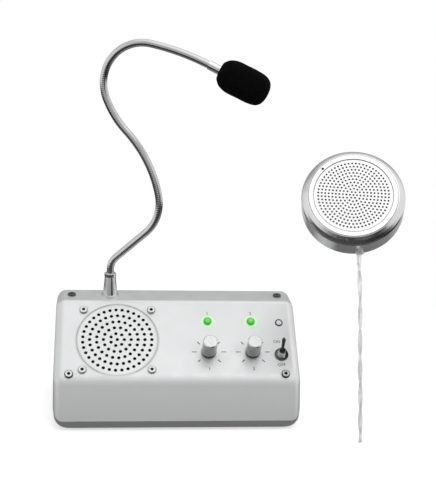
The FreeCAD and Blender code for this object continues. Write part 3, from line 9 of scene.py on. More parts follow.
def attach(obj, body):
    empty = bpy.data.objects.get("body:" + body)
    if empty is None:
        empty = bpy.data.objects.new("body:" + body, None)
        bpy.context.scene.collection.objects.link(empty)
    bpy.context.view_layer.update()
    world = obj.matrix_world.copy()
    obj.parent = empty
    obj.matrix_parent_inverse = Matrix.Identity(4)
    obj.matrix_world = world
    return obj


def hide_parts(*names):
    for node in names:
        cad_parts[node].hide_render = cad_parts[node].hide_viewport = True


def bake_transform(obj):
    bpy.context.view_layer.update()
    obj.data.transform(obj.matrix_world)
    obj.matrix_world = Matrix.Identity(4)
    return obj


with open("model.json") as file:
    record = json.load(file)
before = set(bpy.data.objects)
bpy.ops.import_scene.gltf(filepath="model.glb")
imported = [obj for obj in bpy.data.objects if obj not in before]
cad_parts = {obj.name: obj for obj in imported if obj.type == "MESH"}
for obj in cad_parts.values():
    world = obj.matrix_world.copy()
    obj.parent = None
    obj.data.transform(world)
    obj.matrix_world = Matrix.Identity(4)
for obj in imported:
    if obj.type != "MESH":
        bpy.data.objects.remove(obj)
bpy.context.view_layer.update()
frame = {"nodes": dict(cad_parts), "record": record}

# One millimetre in the scene's own unit, the metre, and a full turn
MM = 0.001
TURN = 2 * math.pi

# The photograph's camera, in millimetres, degrees and the photograph's own pixels
PHOTO_HEIGHT_PX = 480
FOCAL_PX = 1094.17
CAMERA_PLACE = (-52.99, -803.4, 380.52)
CAMERA_YAW = 5.88
CAMERA_PITCH = 16.57
CAMERA_ROLL = 2.31
SENSOR_HEIGHT = 36.0
CLIP_START = 10

# The sloping panel's frame, as the solids have it
PANEL_FOOT = (0.0, -35.961, 40.580)
PANEL_SLOPE = 38.6
SPEAKER_PLACE = (-46.5, 33.7)
KNOB_ACROSS = {"left": 24.3, "right": 58.7}
KNOB_UP = 22.9
LAMP_UP = 50.2

# The middle and spacing of each set of screws and of the lamps, across and up the panel
COVER_SCREWS = ((0.0, 3.5), (166.0, 0.0))
SPEAKER_SCREWS = (SPEAKER_PLACE, (53.0, 53.0))
LAMP_PAIR = ((sum(KNOB_ACROSS.values()) / 2, LAMP_UP), (KNOB_ACROSS["right"] - KNOB_ACROSS["left"], 0.0))

# The outside unit's frame, as the solids have it
OUTSIDE_PLACE = (120.9, -52.5, 191.0)
OUTSIDE_YAW = 13.0
OUTSIDE_TILT = 38.8

# The gooseneck's plane and stretches: each stretch is a length or an arc's radius, and a turn
NECK_YAW = 18.0
NECK_RADIUS = 2.9
NECK_SINK = 3.5
LOWER_STRETCH = ((14.6, -46.5), (33.6, 0.0))
SIDE_STRETCH = ((32.6, 58.2), (94.4, 34.2))
UPPER_STRETCH = ((71.7, -23.2), (32.0, -121.7))
MIC_STRETCH = ((194.3, -13.8),)

# The outside unit's cord, by the points of its route
CORD_ROUTE = [
    (125.7, -64.8, 150.1),
    (124.6, -69.7, 143.9),
    (126.5, -70.9, 127.0),
    (129.0, -70.2, 101.0),
    (131.3, -69.8, 68.0),
    (134.6, -68.4, 35.0),
    (137.2, -67.4, 1.9),
]


def metres(values):
    return Vector(values) * MM


def frame_of(place, yaw, tip):
    """A frame that stands at a place in millimetres, turned by yaw and then tipped about its own X."""
    turned = Matrix.Rotation(math.radians(yaw), 4, "Z") @ Matrix.Rotation(math.radians(tip), 4, "X")
    return Matrix.Translation(metres(place)) @ turned


PANEL = frame_of(PANEL_FOOT, yaw=0.0, tip=PANEL_SLOPE)
OUTSIDE = frame_of(OUTSIDE_PLACE, yaw=-OUTSIDE_YAW, tip=90.0 - OUTSIDE_TILT)


def on_panel(across, up, rise=0.0):
    return PANEL @ metres((across, up, rise))


def panel_frame_at(across, up):
    """The panel's frame, moved to a place on the panel."""
    return Matrix.Translation(on_panel(across, up)) @ PANEL.to_3x3().to_4x4()


def add_object(name, data):
    piece = bpy.data.objects.new(name, data)
    bpy.context.scene.collection.objects.link(piece)
    return piece


def add_mesh(name, points, faces, smooth=True):
    """A mesh object from points in metres and faces of their numbers."""
    mesh = bpy.data.meshes.new(name)
    mesh.from_pydata([tuple(p) for p in points], [], faces)
    mesh.validate()
    mesh.update()
    for polygon in mesh.polygons:
        polygon.use_smooth = smooth
    return add_object(name, mesh)


def mesh_of(name, data):
    """The mesh that a curve or a text makes."""
    holder = add_object(name, data)
    bpy.context.view_layer.update()
    mesh = bpy.data.meshes.new_from_object(holder)
    bpy.data.objects.remove(holder)
    return mesh


def ring_faces(base, row, sides):
    """The faces between a ring of points and the ring before it."""
    this = base + row * sides
    last = this - sides
    faces = []
    for side in range(sides):
        beside = (side + 1) % sides
        faces.append((last + side, last + beside, this + beside, this + side))
    return faces


def dress(piece, material, body):
    """Give a new piece its material and its body."""
    piece.data.materials.clear()
    piece.data.materials.append(material)
    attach(piece, body)


# Camera

def add_camera():
    yaw, pitch, roll = (math.radians(a) for a in (CAMERA_YAW, CAMERA_PITCH, CAMERA_ROLL))
    ahead = Vector((math.sin(yaw) * math.cos(pitch), math.cos(yaw) * math.cos(pitch), -math.sin(pitch)))
    level = Vector((math.cos(yaw), -math.sin(yaw), 0.0))
    upright = level.cross(ahead)
    right = math.cos(roll) * level + math.sin(roll) * upright
    up = -math.sin(roll) * level + math.cos(roll) * upright
    data = bpy.data.cameras.new("photo_camera")
    data.sensor_fit = "VERTICAL"
    data.sensor_height = SENSOR_HEIGHT
    data.lens = SENSOR_HEIGHT * FOCAL_PX / PHOTO_HEIGHT_PX
    data.clip_start = CLIP_START * MM
    camera = add_object("photo_camera", data)
    place = Matrix((right, up, -ahead)).transposed().to_4x4()
    camera.matrix_world = Matrix.Translation(metres(CAMERA_PLACE)) @ place
    bpy.context.scene.camera = camera


# Node helpers

# Spans of a noise's value over which a surface changes from one look to the other
SHARP = (0.35, 0.65)
SOFT = (0.3, 0.7)
WIDE = (0.2, 0.8)


def grey(tone):
    return (tone, tone, tone)


def shaded(colour, share):
    return tuple(min(1.0, c * share) for c in colour)


class Nodes:
    """The nodes of a material or of the world."""

    def __init__(self, tree):
        self.nodes = tree.nodes
        self.links = tree.links

    def add(self, kind, **settings):
        node = self.nodes.new(kind)
        for key, value in settings.items():
            setattr(node, key, value)
        return node

    def put(self, node, socket, value):
        """Link an output, or set a number, on a node's input."""
        if isinstance(value, bpy.types.NodeSocket):
            self.links.new(value, node.inputs[socket])
        else:
            node.inputs[socket].default_value = value

    def maths(self, operation, one, other=0.0):
        node = self.add("ShaderNodeMath", operation=operation)
        self.put(node, 0, one)
        self.put(node, 1, other)
        return node.outputs[0]

    def ramp(self, value, low, high, out_low=0.0, out_high=1.0, smooth=True):
        kind = "SMOOTHSTEP" if smooth else "LINEAR"
        node = self.add("ShaderNodeMapRange", interpolation_type=kind)
        for key, number in (("Value", value), ("From Min", low), ("From Max", high), ("To Min", out_low),
                            ("To Max", out_high)):
            self.put(node, key, number)
        return node.outputs["Result"]

    def mix(self, share, one, other):
        """A mix of two numbers."""
        node = self.add("ShaderNodeMix", data_type="FLOAT")
        for socket, value in ((0, share), (2, one), (3, other)):
            self.put(node, socket, value)
        return node.outputs[0]

    def axes(self, vector):
        split = self.add("ShaderNodeSeparateXYZ")
        self.put(split, 0, vector)
        return split.outputs

    def seen_directly(self, rays):
        """1 for what the camera sees, also through something clear."""
        return self.maths("MAXIMUM", rays["Is Camera Ray"], rays["Is Transmission Ray"])


class Shader(Nodes):
    """A node material under construction: one Principled shader and what feeds it."""

    def __init__(self, name, colour, roughness, metallic=0.0, **inputs):
        self.material = bpy.data.materials.new(name)
        self.material.use_nodes = True
        super().__init__(self.material.node_tree)
        self.bsdf = self.nodes["Principled BSDF"]
        self.bsdf.inputs["Base Color"].default_value = (*colour, 1.0)
        self.bsdf.inputs["Metallic"].default_value = metallic
        self.bsdf.inputs["Roughness"].default_value = roughness
        for key, value in inputs.items():
            self.bsdf.inputs[key.replace("_", " ")].default_value = value
        self.height = None

    def place(self, matrix=None):
        """The piece's own coordinates in metres, or those of a frame given as a matrix."""
        source = self.add("ShaderNodeTexCoord").outputs["Object"]
        if matrix is None:
            return source
        mapping = self.add("ShaderNodeMapping", vector_type="TEXTURE")
        self.put(mapping, "Vector", source)
        mapping.inputs["Location"].default_value = matrix.to_translation()
        mapping.inputs["Rotation"].default_value = matrix.to_euler("XYZ")
        return mapping.outputs["Vector"]

    def stretched(self, vector, scale):
        mapping = self.add("ShaderNodeMapping")
        self.put(mapping, "Vector", vector)
        mapping.inputs["Scale"].default_value = scale
        return mapping.outputs["Vector"]

    def noise(self, vector, size, detail=3.0, rough=0.5):
        """Noise whose lumps are about this many millimetres across."""
        node = self.add("ShaderNodeTexNoise")
        self.put(node, "Vector", vector)
        node.inputs["Scale"].default_value = 1 / (size * MM)
        node.inputs["Detail"].default_value = detail
        node.inputs["Roughness"].default_value = rough
        return node.outputs["Fac"]

    def cells(self, vector, size):
        node = self.add("ShaderNodeTexVoronoi", feature="F1")
        self.put(node, "Vector", vector)
        node.inputs["Scale"].default_value = 1 / (size * MM)
        return node.outputs["Distance"]

    def wave(self, value, pitch):
        """A sine wave along a value in metres, at a pitch in millimetres."""
        return self.maths("SINE", self.maths("MULTIPLY", value, TURN / (pitch * MM)))

    def over(self, value, span, out_low=0.0, out_high=1.0):
        """A ramp over a span in millimetres."""
        low, high = span
        return self.ramp(value, low * MM, high * MM, out_low, out_high)

    def within(self, value, limits, edge):
        """1 between two limits in millimetres, 0 outside them, with soft edges."""
        low, high = limits
        rising = self.over(value, (low, low + edge))
        return self.maths("MULTIPLY", rising, self.over(value, (high - edge, high), 1.0, 0.0))

    def blend(self, share, one, other):
        """A mix of two colours, which are outputs or triples."""
        node = self.add("ShaderNodeMix", data_type="RGBA")
        self.put(node, 0, share)
        for socket, colour in ((6, one), (7, other)):
            self.put(node, socket, colour if isinstance(colour, bpy.types.NodeSocket) else (*colour, 1.0))
        return node.outputs[2]

    def mottled(self, value, span, one, other):
        """A mix of two colours by a noise's value."""
        return self.blend(self.ramp(value, *span), one, other)

    def colour(self, socket):
        self.put(self.bsdf, "Base Color", socket)

    def rough(self, value, span, low, high):
        """A roughness that a noise's value takes from low to high."""
        self.put(self.bsdf, "Roughness", self.ramp(value, *span, low, high))

    def glow(self, colour, strength):
        self.put(self.bsdf, "Emission Color", colour)
        self.put(self.bsdf, "Emission Strength", strength)

    def bump(self, height, depth):
        """Raise the surface by a height of 0 to 1 times a depth in millimetres."""
        node = self.add("ShaderNodeBump")
        node.inputs["Strength"].default_value = 1.0
        node.inputs["Distance"].default_value = depth * MM
        self.put(node, "Height", height)
        if self.height is not None:
            self.put(node, "Normal", self.height)
        self.height = node.outputs["Normal"]
        self.put(self.bsdf, "Normal", self.height)

    def radius(self, vector):
        """Distance from the frame's own Z axis, in metres."""
        x, y, _ = self.axes(vector)
        return self.length(x, y)

    def length(self, x, y):
        flat = self.add("ShaderNodeCombineXYZ")
        self.put(flat, 0, x)
        self.put(flat, 1, y)
        length = self.add("ShaderNodeVectorMath", operation="LENGTH")
        self.put(length, 0, flat.outputs[0])
        return length.outputs["Value"]

    def nearest(self, x, y, middle, apart=(0.0, 0.0)):
        """Distance from the nearest of one, two or four places spaced evenly about a middle."""
        away = []
        for value, centre, span in zip((x, y), middle, apart):
            side = self.maths("ABSOLUTE", self.maths("SUBTRACT", value, centre * MM))
            away.append(self.maths("SUBTRACT", side, span / 2 * MM))
        return self.length(*away)


# The soft edge of the painted shade of a hole, in millimetres
HOLE_EDGE = 0.05


def hole_pattern(shader, local, pitch, step, radius):
    """1 inside the holes of a grille, where painted shade goes: rings at an even pitch, each with a step more
    holes than the last.
    """
    x, y, _ = shader.axes(local)
    away = shader.length(x, y)
    ring = shader.maths("ROUND", shader.maths("DIVIDE", away, pitch * MM))
    turn = shader.maths("DIVIDE", shader.maths("ARCTAN2", y, x), TURN)
    place = shader.maths("MULTIPLY", turn, shader.maths("MULTIPLY", ring, step))
    aside = shader.maths("SUBTRACT", place, shader.maths("ROUND", place))
    aside = shader.maths("MULTIPLY", aside, TURN * pitch * MM / step)
    off = shader.maths("SUBTRACT", away, shader.maths("MULTIPLY", ring, pitch * MM))
    return shader.over(shader.length(aside, off), (radius - HOLE_EDGE, radius + HOLE_EDGE), 1.0, 0.0)


# Silver paint, with painted shade in and round the panel's holes and low on the front, a grey ring round the
# grille, and green light painted round the lamps

PAINT = (0.78, 0.785, 0.79)
PAINT_DIM = (0.755, 0.76, 0.765)
PAINT_LIT = (0.8, 0.805, 0.81)
PAINT_CLOUD = (0.74, 0.745, 0.75)
PAINT_LOW_SHADE = (0.62, 0.625, 0.63)
CLOUD_SHARE = 0.25
# Green light on the paint round each lamp: its tone, colour, ends, and shares in tone and in light
LAMPLIT_PAINT = (0.5, 0.98, 0.42)
LAMPLIGHT = (0.25, 1.0, 0.12, 1.0)
LAMPLIGHT_ENDS = (3.0, 6.2)
LAMPLIT_SHARE = 0.8
LAMPLIGHT_SHARE = 0.3
# How far below the panel's face the paint still counts as the face
FACE_SPAN = (-0.5, 0.0)
# The grey ring round the grille
RING_GREY = (0.64, 0.64, 0.645)
RING_SPAN = (29.9, 33.2)
RING_EDGE = 0.9
# Painted shade on the walls of the panel's holes: dark inside the groove and grey outside it
PAINTED_HOLE_SHADE = (0.012, 0.012, 0.013)
PAINTED_WALL_SHADE = grey(0.5)
GROOVE_SPAN = (30.6, 30.9)
HOLE_WALL = (-2.8, -0.1)
HOLE_WALL_EDGE = 0.15
PANEL_ACROSS = (-88.0, 88.0)
PANEL_UP = (5.5, 65.0)
PANEL_EDGE = 0.5
# The grille's pitch, the holes that each ring adds, and the radius of the painted shade round each hole; then
# that shade's colour and how far out the holes reach
GRILLE_PATTERN = (5.35, 7, 1.34)
PANEL_GRILLE_SHADE = (0.05, 0.05, 0.052)
GRILLE_REACH = (27.9, 28.2)
# Heights above the counter between which painted shade darkens the front gently, and by what share
SEAM_SHADE_SPAN = (6, 36)
SEAM_SHADE_SHARE = 0.35


def silver_paint():
    """Satin silver lacquer over sheet metal: fine flake, faint marks, painted shade in and round the holes
    and low on the front, and painted green lamplight.
    """
    shader = Shader("silver_paint", PAINT, metallic=0.55, roughness=0.4, Coat_Weight=0.12, Coat_Roughness=0.3)
    here = shader.place()
    x, y, z = shader.axes(shader.place(PANEL))
    on_face = shader.over(z, FACE_SPAN)
    flake = shader.noise(here, size=0.25, detail=2.0)
    cloud = shader.noise(here, size=35.0, detail=2.0)
    tone = shader.mottled(flake, SHARP, PAINT_DIM, PAINT_LIT)
    tone = shader.blend(shader.ramp(cloud, *SOFT, 0.0, CLOUD_SHARE), tone, PAINT_CLOUD)
    # Painted light: green lamplight on the paint round each lamp, also given off as light
    glow = shader.over(shader.nearest(x, y, *LAMP_PAIR), LAMPLIGHT_ENDS, LAMPLIT_SHARE, 0.0)
    glow = shader.maths("MULTIPLY", glow, on_face)
    tone = shader.blend(glow, tone, LAMPLIT_PAINT)
    shader.glow(LAMPLIGHT, shader.maths("MULTIPLY", glow, LAMPLIGHT_SHARE))
    grille = shader.nearest(x, y, SPEAKER_PLACE)
    ring = shader.maths("MULTIPLY", shader.within(grille, RING_SPAN, RING_EDGE), on_face)
    tone = shader.blend(ring, tone, RING_GREY)
    # Painted shade round each of the grille's holes
    grille_shade = hole_pattern(shader, shader.place(panel_frame_at(*SPEAKER_PLACE)), *GRILLE_PATTERN)
    grille_shade = shader.maths("MULTIPLY", grille_shade, shader.over(grille, GRILLE_REACH, 1.0, 0.0))
    tone = shader.blend(shader.maths("MULTIPLY", grille_shade, on_face), tone, PANEL_GRILLE_SHADE)
    # Painted shade on the walls of the holes below the panel's face, dark inside the groove and grey outside
    # it
    hole = shader.within(z, HOLE_WALL, HOLE_WALL_EDGE)
    for value, limits in ((x, PANEL_ACROSS), (y, PANEL_UP)):
        hole = shader.maths("MULTIPLY", hole, shader.within(value, limits, PANEL_EDGE))
    wall_shade = shader.blend(shader.over(grille, GROOVE_SPAN), PAINTED_HOLE_SHADE, PAINTED_WALL_SHADE)
    tone = shader.blend(hole, tone, wall_shade)
    # Painted shade: the front darker towards the counter
    low = shader.over(shader.axes(here)[2], SEAM_SHADE_SPAN, SEAM_SHADE_SHARE, 0.0)
    shader.colour(shader.blend(low, tone, PAINT_LOW_SHADE))
    shader.rough(shader.noise(here, size=9.0, detail=4.0), SOFT, low=0.36, high=0.46)
    shader.bump(flake, depth=0.012)
    shader.bump(shader.noise(here, size=2.2, detail=2.0), depth=0.02)
    return shader.material


# Other paint, rubber, plastic, cloth and ink: a base colour, and the dim and lit ends of its mottle

TRAY = ((0.42, 0.42, 0.43), (0.38, 0.38, 0.388), (0.46, 0.46, 0.468))
RUBBER = ((0.025, 0.025, 0.026), (0.018, 0.018, 0.019), (0.04, 0.04, 0.041))
CLOTH = ((0.01, 0.01, 0.011), (0.004, 0.004, 0.004), (0.02, 0.02, 0.021))
# The foam's dim end is painted shade in its pores
FOAM = ((0.004, 0.004, 0.004), (0.0006, 0.0006, 0.0006), (0.005, 0.005, 0.0053))
INK = ((0.09, 0.09, 0.1), (0.03, 0.03, 0.034), (0.08, 0.08, 0.085))
# The span over which ink wears, and shares of the tone and roughness of moulded plastic
INK_WEAR = (0.35, 0.75)
PLASTIC_SHADES = (0.8, 1.2)
PLASTIC_ROUGH = (0.85, 1.2)
BLACK_PLASTIC = (0.03, 0.03, 0.032)
FERRITE = (0.05, 0.05, 0.052)
CONE_PAPER = grey(0.04)
SOLDER_MASK = (0.03, 0.2, 0.08)
WEAVE_PITCH = 0.5
# How much ragged noise joins the foam's pores, and the span of the two that makes its walls
FOAM_RAGGED = 0.6
FOAM_WALLS = (0.25, 1.1)


def tray_paint():
    """Darker grey lacquer with a fine orange-peel texture."""
    base, dim, lit = TRAY
    shader = Shader("tray_paint", base, metallic=0.4, roughness=0.42, Coat_Weight=0.1)
    here = shader.place()
    grain = shader.noise(here, size=0.5)
    shader.colour(shader.mottled(grain, SOFT, dim, lit))
    shader.rough(shader.noise(here, size=6.0), SOFT, low=0.38, high=0.5)
    shader.bump(grain, depth=0.03)
    return shader.material


def rubber():
    base, dim, lit = RUBBER
    shader = Shader("rubber", base, roughness=0.62)
    grain = shader.noise(shader.place(), size=0.35, detail=4.0)
    shader.colour(shader.mottled(grain, SOFT, dim, lit))
    shader.rough(grain, WIDE, low=0.5, high=0.75)
    shader.bump(grain, depth=0.04)
    return shader.material


def black_cloth():
    """Tight grille cloth, woven at half a millimetre."""
    base, dim, lit = CLOTH
    shader = Shader("black_cloth", base, roughness=0.9, Sheen_Weight=0.2)
    x, y, _ = shader.axes(shader.place(PANEL))
    threads = shader.maths("MULTIPLY", shader.wave(x, WEAVE_PITCH), shader.wave(y, WEAVE_PITCH))
    weave = shader.ramp(threads, -1.0, 1.0)
    shader.colour(shader.blend(weave, dim, lit))
    shader.bump(weave, depth=0.1)
    return shader.material


def moulded(name, tone, roughness=0.45):
    """Moulded plastic with a light spark-eroded grain."""
    shader = Shader(name, tone, roughness=roughness)
    grain = shader.noise(shader.place(), size=0.3)
    shader.colour(shader.mottled(grain, SOFT, *(shaded(tone, share) for share in PLASTIC_SHADES)))
    shader.rough(grain, WIDE, *(roughness * share for share in PLASTIC_ROUGH))
    shader.bump(grain, depth=0.02)
    return shader.material


def foam():
    """Black open-cell foam: small pores darkened by painted shade, between soft ragged walls."""
    base, dim, lit = FOAM
    shader = Shader("foam", base, roughness=0.95, Specular_IOR_Level=0.05)
    here = shader.place()
    ragged = shader.noise(here, size=0.45, detail=4.0, rough=0.7)
    walls = shader.maths("ADD", shader.cells(here, size=0.75), shader.maths("MULTIPLY", ragged, FOAM_RAGGED))
    height = shader.ramp(walls, *FOAM_WALLS)
    # Painted shade: the pores darker than the walls between them
    shader.colour(shader.blend(height, dim, lit))
    shader.bump(height, depth=0.35)
    return shader.material


def ink():
    """Dark grey screen-printed ink, a little uneven."""
    base, dim, lit = INK
    shader = Shader("ink", base, roughness=0.55)
    worn = shader.noise(shader.place(), size=0.4)
    shader.colour(shader.mottled(worn, INK_WEAR, dim, lit))
    shader.bump(worn, depth=0.01)
    return shader.material


# Metals: shares of a tone at the ends of its mottle, and of a roughness at the ends of its own

STEEL_SHADES = (0.86, 1.08)
STEEL_ROUGH = (0.8, 1.3)
CHROME_SHADES = (0.96, 1.04)
CHROME_ROUGH = (0.8, 1.2)
LATHE_SHADES = (0.9, 1.06)
LATHE_ROUGH = (0.8, 1.25)
# How much more blue than red plated metal and the lit end of turned metal have
METAL_BLUE = 1.01
LATHE_BLUE = 1.005
# A screw's head: its plate, the painted shade in its recess, and the radii between recess, ring and rim,
# beyond which painted shadow darkens the rim
SCREW_PLATE = ((0.7, 0.7, 0.71), (0.55, 0.55, 0.56), (0.68, 0.68, 0.69))
SCREW_RECESS_SHADE = (1.1, 1.45)
SCREW_RIM_SHADOW = (2.5, 2.8)
# A lathe's marks: their pitch on a face and round a side, and how much finer their noise is along the axis
LATHE_FACE_PITCH = 0.25
LATHE_SIDE_PITCH = 0.3
LATHE_STRETCH = (1.0, 1.0, 6.0)
# How much of the noise joins the marks, the span of their sum, and where a face begins along the axis
LATHE_WANDER = 2.0
LATHE_HEIGHTS = (-2.0, 4.0)
LATHE_FACE = (-0.4, -0.2)
# The soft edges of bands and of lines of painted shade, and the greys of the painted shade in a grille's
# holes and in a pinhole
BAND_EDGE = 0.15
LINE_EDGE = 0.1
LATHE_HOLE_SHADE = grey(0.03)
PINHOLE_SHADE = grey(0.01)

# Spans of painted shade: along an axis or by radius in millimetres, each with its tone. They are shadow lines
# at the shell's ring, the shell's side wall darker than its face, the grille's hole walls, and the knob's
# side, foot and bands
SHELL_SHADOW_LINES = (((28.2, 28.9), 0.12), ((32.0, 32.5), 0.2))
SHELL_WALL_SHADE = (((-21.0, -0.3), 0.68),)
GRILLE_WALL_SHADE = (((-1.4, -0.5), 0.012),)
KNOB_SHADE_BANDS = (((2.6, 16.3), 0.37), ((0.3, 2.8), 0.05), ((5.6, 6.7), 0.2), ((9.2, 10.3), 0.26))
# The microphone's pinhole, painted black as shade: a place and a radius. The outside grille's painted hole
# shade: pitch, step, radius and reach
PINHOLE = (-23.55, 19.07, 1.05)
OUTSIDE_GRILLE_SHADING = (2.53, 6, 0.72, 26.8)


def plated_steel(name, tone, roughness):
    """Bright plated steel with faint tool marks and small dull spots."""
    shader = Shader(name, (tone, tone, tone * METAL_BLUE), metallic=1.0, roughness=roughness)
    here = shader.place()
    spots = shader.noise(here, size=1.6)
    shader.colour(shader.mottled(spots, SHARP, *(shaded(grey(tone), share) for share in STEEL_SHADES)))
    shader.rough(spots, SOFT, *(roughness * share for share in STEEL_ROUGH))
    shader.bump(shader.noise(here, size=0.3, detail=2.0), depth=0.01)
    return shader.material


def screw_heads(name, rim, places):
    """Plated screws: a bright ring between painted shade in the recess and painted shadow on the rim."""
    base, dim, lit = SCREW_PLATE
    shader = Shader(name, base, metallic=1.0, roughness=0.32)
    x, y, _ = shader.axes(shader.place(PANEL))
    away = shader.nearest(x, y, *places)
    spots = shader.noise(shader.place(), size=1.2)
    tone = shader.mottled(spots, SHARP, dim, lit)
    # Painted shade in the recess, and painted shadow of the rim's given tone beyond it
    tone = shader.blend(shader.over(away, SCREW_RECESS_SHADE, 1.0, 0.0), tone, PAINTED_HOLE_SHADE)
    shader.colour(shader.blend(shader.over(away, SCREW_RIM_SHADOW), tone, grey(rim)))
    shader.rough(spots, SOFT, low=0.26, high=0.4)
    shader.bump(spots, depth=0.01)
    return shader.material


def chrome(name, tone, roughness=0.1):
    """Polished chrome with a trace of haze."""
    shader = Shader(name, (tone, tone, tone * METAL_BLUE), metallic=1.0, roughness=roughness)
    haze = shader.noise(shader.place(), size=12.0, detail=2.0)
    shader.colour(shader.mottled(haze, SOFT, *(shaded(grey(tone), share) for share in CHROME_SHADES)))
    shader.rough(haze, SOFT, *(roughness * share for share in CHROME_ROUGH))
    shader.bump(haze, depth=0.002)
    return shader.material


def turned_metal(name, matrix, tone, roughness=0.28, dark=(), lines=(), spot=None, holes=None):
    """Aluminium turned on a lathe: rings on its faces and lines round its sides, about a frame's Z.

    Dark holds spans of painted shade along Z, a tone for each; lines spans of radius on the face for painted
    shadow lines; spot the place and radius of a pinhole painted black as shade. Holes gives a grille's pitch,
    step, radius of painted shade and reach."""
    shader = Shader(name, grey(tone), metallic=1.0, roughness=roughness)
    local = shader.place(matrix)
    away = shader.radius(local)
    along = shader.axes(local)[2]
    wander = shader.noise(shader.stretched(local, LATHE_STRETCH), size=3.0)
    dim, (red, green, blue) = (shaded(grey(tone), share) for share in LATHE_SHADES)
    colour = shader.mottled(wander, SOFT, dim, (red, green, blue * LATHE_BLUE))
    # Painted shade: darker bands along the axis
    for span, shade in dark:
        colour = shader.blend(shader.within(along, span, BAND_EDGE), colour, grey(shade))
    face = shader.over(along, LATHE_FACE)
    # Painted shadow lines on the face
    for span, shade in lines:
        ring = shader.maths("MULTIPLY", face, shader.within(away, span, LINE_EDGE))
        colour = shader.blend(ring, colour, grey(shade))
    # Painted shade in and round the grille's holes
    if holes is not None:
        pitch, step, radius, reach = holes
        inside = shader.over(away, (reach - LINE_EDGE, reach), 1.0, 0.0)
        inside = shader.maths("MULTIPLY", inside, hole_pattern(shader, local, pitch, step, radius))
        colour = shader.blend(inside, colour, LATHE_HOLE_SHADE)
    # A pinhole painted black as shade
    if spot is not None:
        *place, radius = spot
        x, y, _ = shader.axes(local)
        hole = shader.over(shader.nearest(x, y, place), (radius - BAND_EDGE, radius), 1.0, 0.0)
        colour = shader.blend(hole, colour, PINHOLE_SHADE)
    shader.colour(colour)
    shader.rough(wander, SOFT, *(roughness * share for share in LATHE_ROUGH))
    height = shader.maths("ADD", shader.wave(away, LATHE_FACE_PITCH), shader.wave(along, LATHE_SIDE_PITCH))
    height = shader.maths("ADD", height, shader.maths("MULTIPLY", wander, LATHE_WANDER))
    shader.bump(shader.ramp(height, *LATHE_HEIGHTS, smooth=False), depth=0.005)
    return shader.material


# Lenses and clear plastic

# The green lens: its base colour, then its rim and middle as colours and as light
LENS = (0.16, 0.55, 0.14)
LENS_COLOURS = ((0.03, 0.3, 0.02), (0.09, 0.5, 0.05))
LENS_LIGHTS = ((0.02, 0.28, 0.012), (0.14, 0.66, 0.08))
# How far from its middle it darkens, how much its frost varies that, and the strength of its light
LENS_SPAN = (0.4, 3.4)
LENS_FROST = (0.85, 1.1)
LENS_STRENGTH = 0.6
# The power lamp's lens: its base colour, the ends of its mottle and its light
CLEAR_LENS = (0.88, 0.9, 0.92)
CLEAR_MOTTLE = ((0.75, 0.77, 0.8), (0.95, 0.96, 0.97))
CLEAR_LIGHT = (0.9, 0.92, 0.95, 1.0)
CLEAR_STRENGTH = 0.15
# Clear plastics: their colours, how dark their patches are, the patches' span and shares of a roughness
CORD_WHITE = (0.97, 0.97, 0.965)
CORD_SILVER = grey(0.94)
CORD_GLAND = (0.9, 0.9, 0.895)
CORD_DIM = 0.82
CORD_PATCHES = (0.4, 0.6)
CORD_ROUGH = (0.8, 1.3)


def lit_lens(place):
    """Green lamp lens, brightest over the lamp in its middle, darker towards its rim."""
    shader = Shader("lit_lens_%s" % place, LENS, roughness=0.18, Coat_Weight=0.5, Coat_Roughness=0.08)
    local = shader.place(panel_frame_at(KNOB_ACROSS[place], LAMP_UP))
    frost = shader.noise(local, size=0.8, detail=2.0)
    glow = shader.over(shader.radius(local), LENS_SPAN, 1.0, 0.0)
    glow = shader.maths("MULTIPLY", glow, shader.ramp(frost, *WIDE, *LENS_FROST))
    shader.colour(shader.blend(glow, *LENS_COLOURS))
    shader.glow(shader.blend(glow, *LENS_LIGHTS), LENS_STRENGTH)
    shader.bump(frost, depth=0.02)
    return shader.material


def clear_lens():
    shader = Shader("clear_lens", CLEAR_LENS, roughness=0.08, Coat_Weight=0.6, Transmission_Weight=0.35)
    core = shader.noise(shader.place(), size=1.2, detail=2.0)
    shader.colour(shader.mottled(core, SOFT, *CLEAR_MOTTLE))
    shader.glow(CLEAR_LIGHT, CLEAR_STRENGTH)
    shader.bump(core, depth=0.03)
    return shader.material


def cord_plastic(name, tone, clear, roughness=0.3):
    """Clear insulation over tinned wire: cloudy, with greyer patches where the wire shows."""
    shader = Shader(name, tone, roughness=roughness, Coat_Weight=0.2, Coat_Roughness=0.12,
                    Transmission_Weight=clear, IOR=1.12)
    here = shader.place()
    patches = shader.noise(here, size=6.0, detail=2.0)
    fine = shader.noise(here, size=0.6)
    shader.colour(shader.mottled(patches, CORD_PATCHES, shaded(tone, CORD_DIM), tone))
    shader.rough(fine, SOFT, *(roughness * share for share in CORD_ROUGH))
    shader.bump(fine, depth=0.03)
    return shader.material


# The floor, the world and the lamps

FLOOR_REACH = 360.0
FLOOR_SIDES = 96
FLOOR_WHITE = grey(0.85)
# What a mirror sees of the floor, from its front to its back, in millimetres along Y
FLOOR_MIRRORED = (grey(0.04), grey(0.42))
FLOOR_MIRRORED_SPAN = (-260, 160)
# How much the floor's own white lifts what a camera or a mirror sees of it
FLOOR_LIFT = 0.6
MIRRORED_LIFT = 0.02
WHITE = (1.0, 1.0, 1.0, 1.0)

# Even light on matt surfaces, and the studio that metal mirrors: overhead, level behind, and in front
AMBIENT = 0.33
OVERHEAD, BEHIND, IN_FRONT, BESIDE = 1.38, 0.42, 0.58, 1.05
OVERHEAD_TILT = 0.6
GROUND_BEHIND, GROUND_IN_FRONT = 0.7, 0.025
# Where each part of the studio passes into the next, by a direction's own X, Y or Z
LEVEL_SPAN = (-0.75, 0.5)
BESIDE_SPAN = (0.45, 0.9)
OVERHEAD_SPAN = (0.4, 0.92)
HORIZON_SPAN = (-0.28, -0.11)
GROUND_SPAN = (0.35, 1.0)
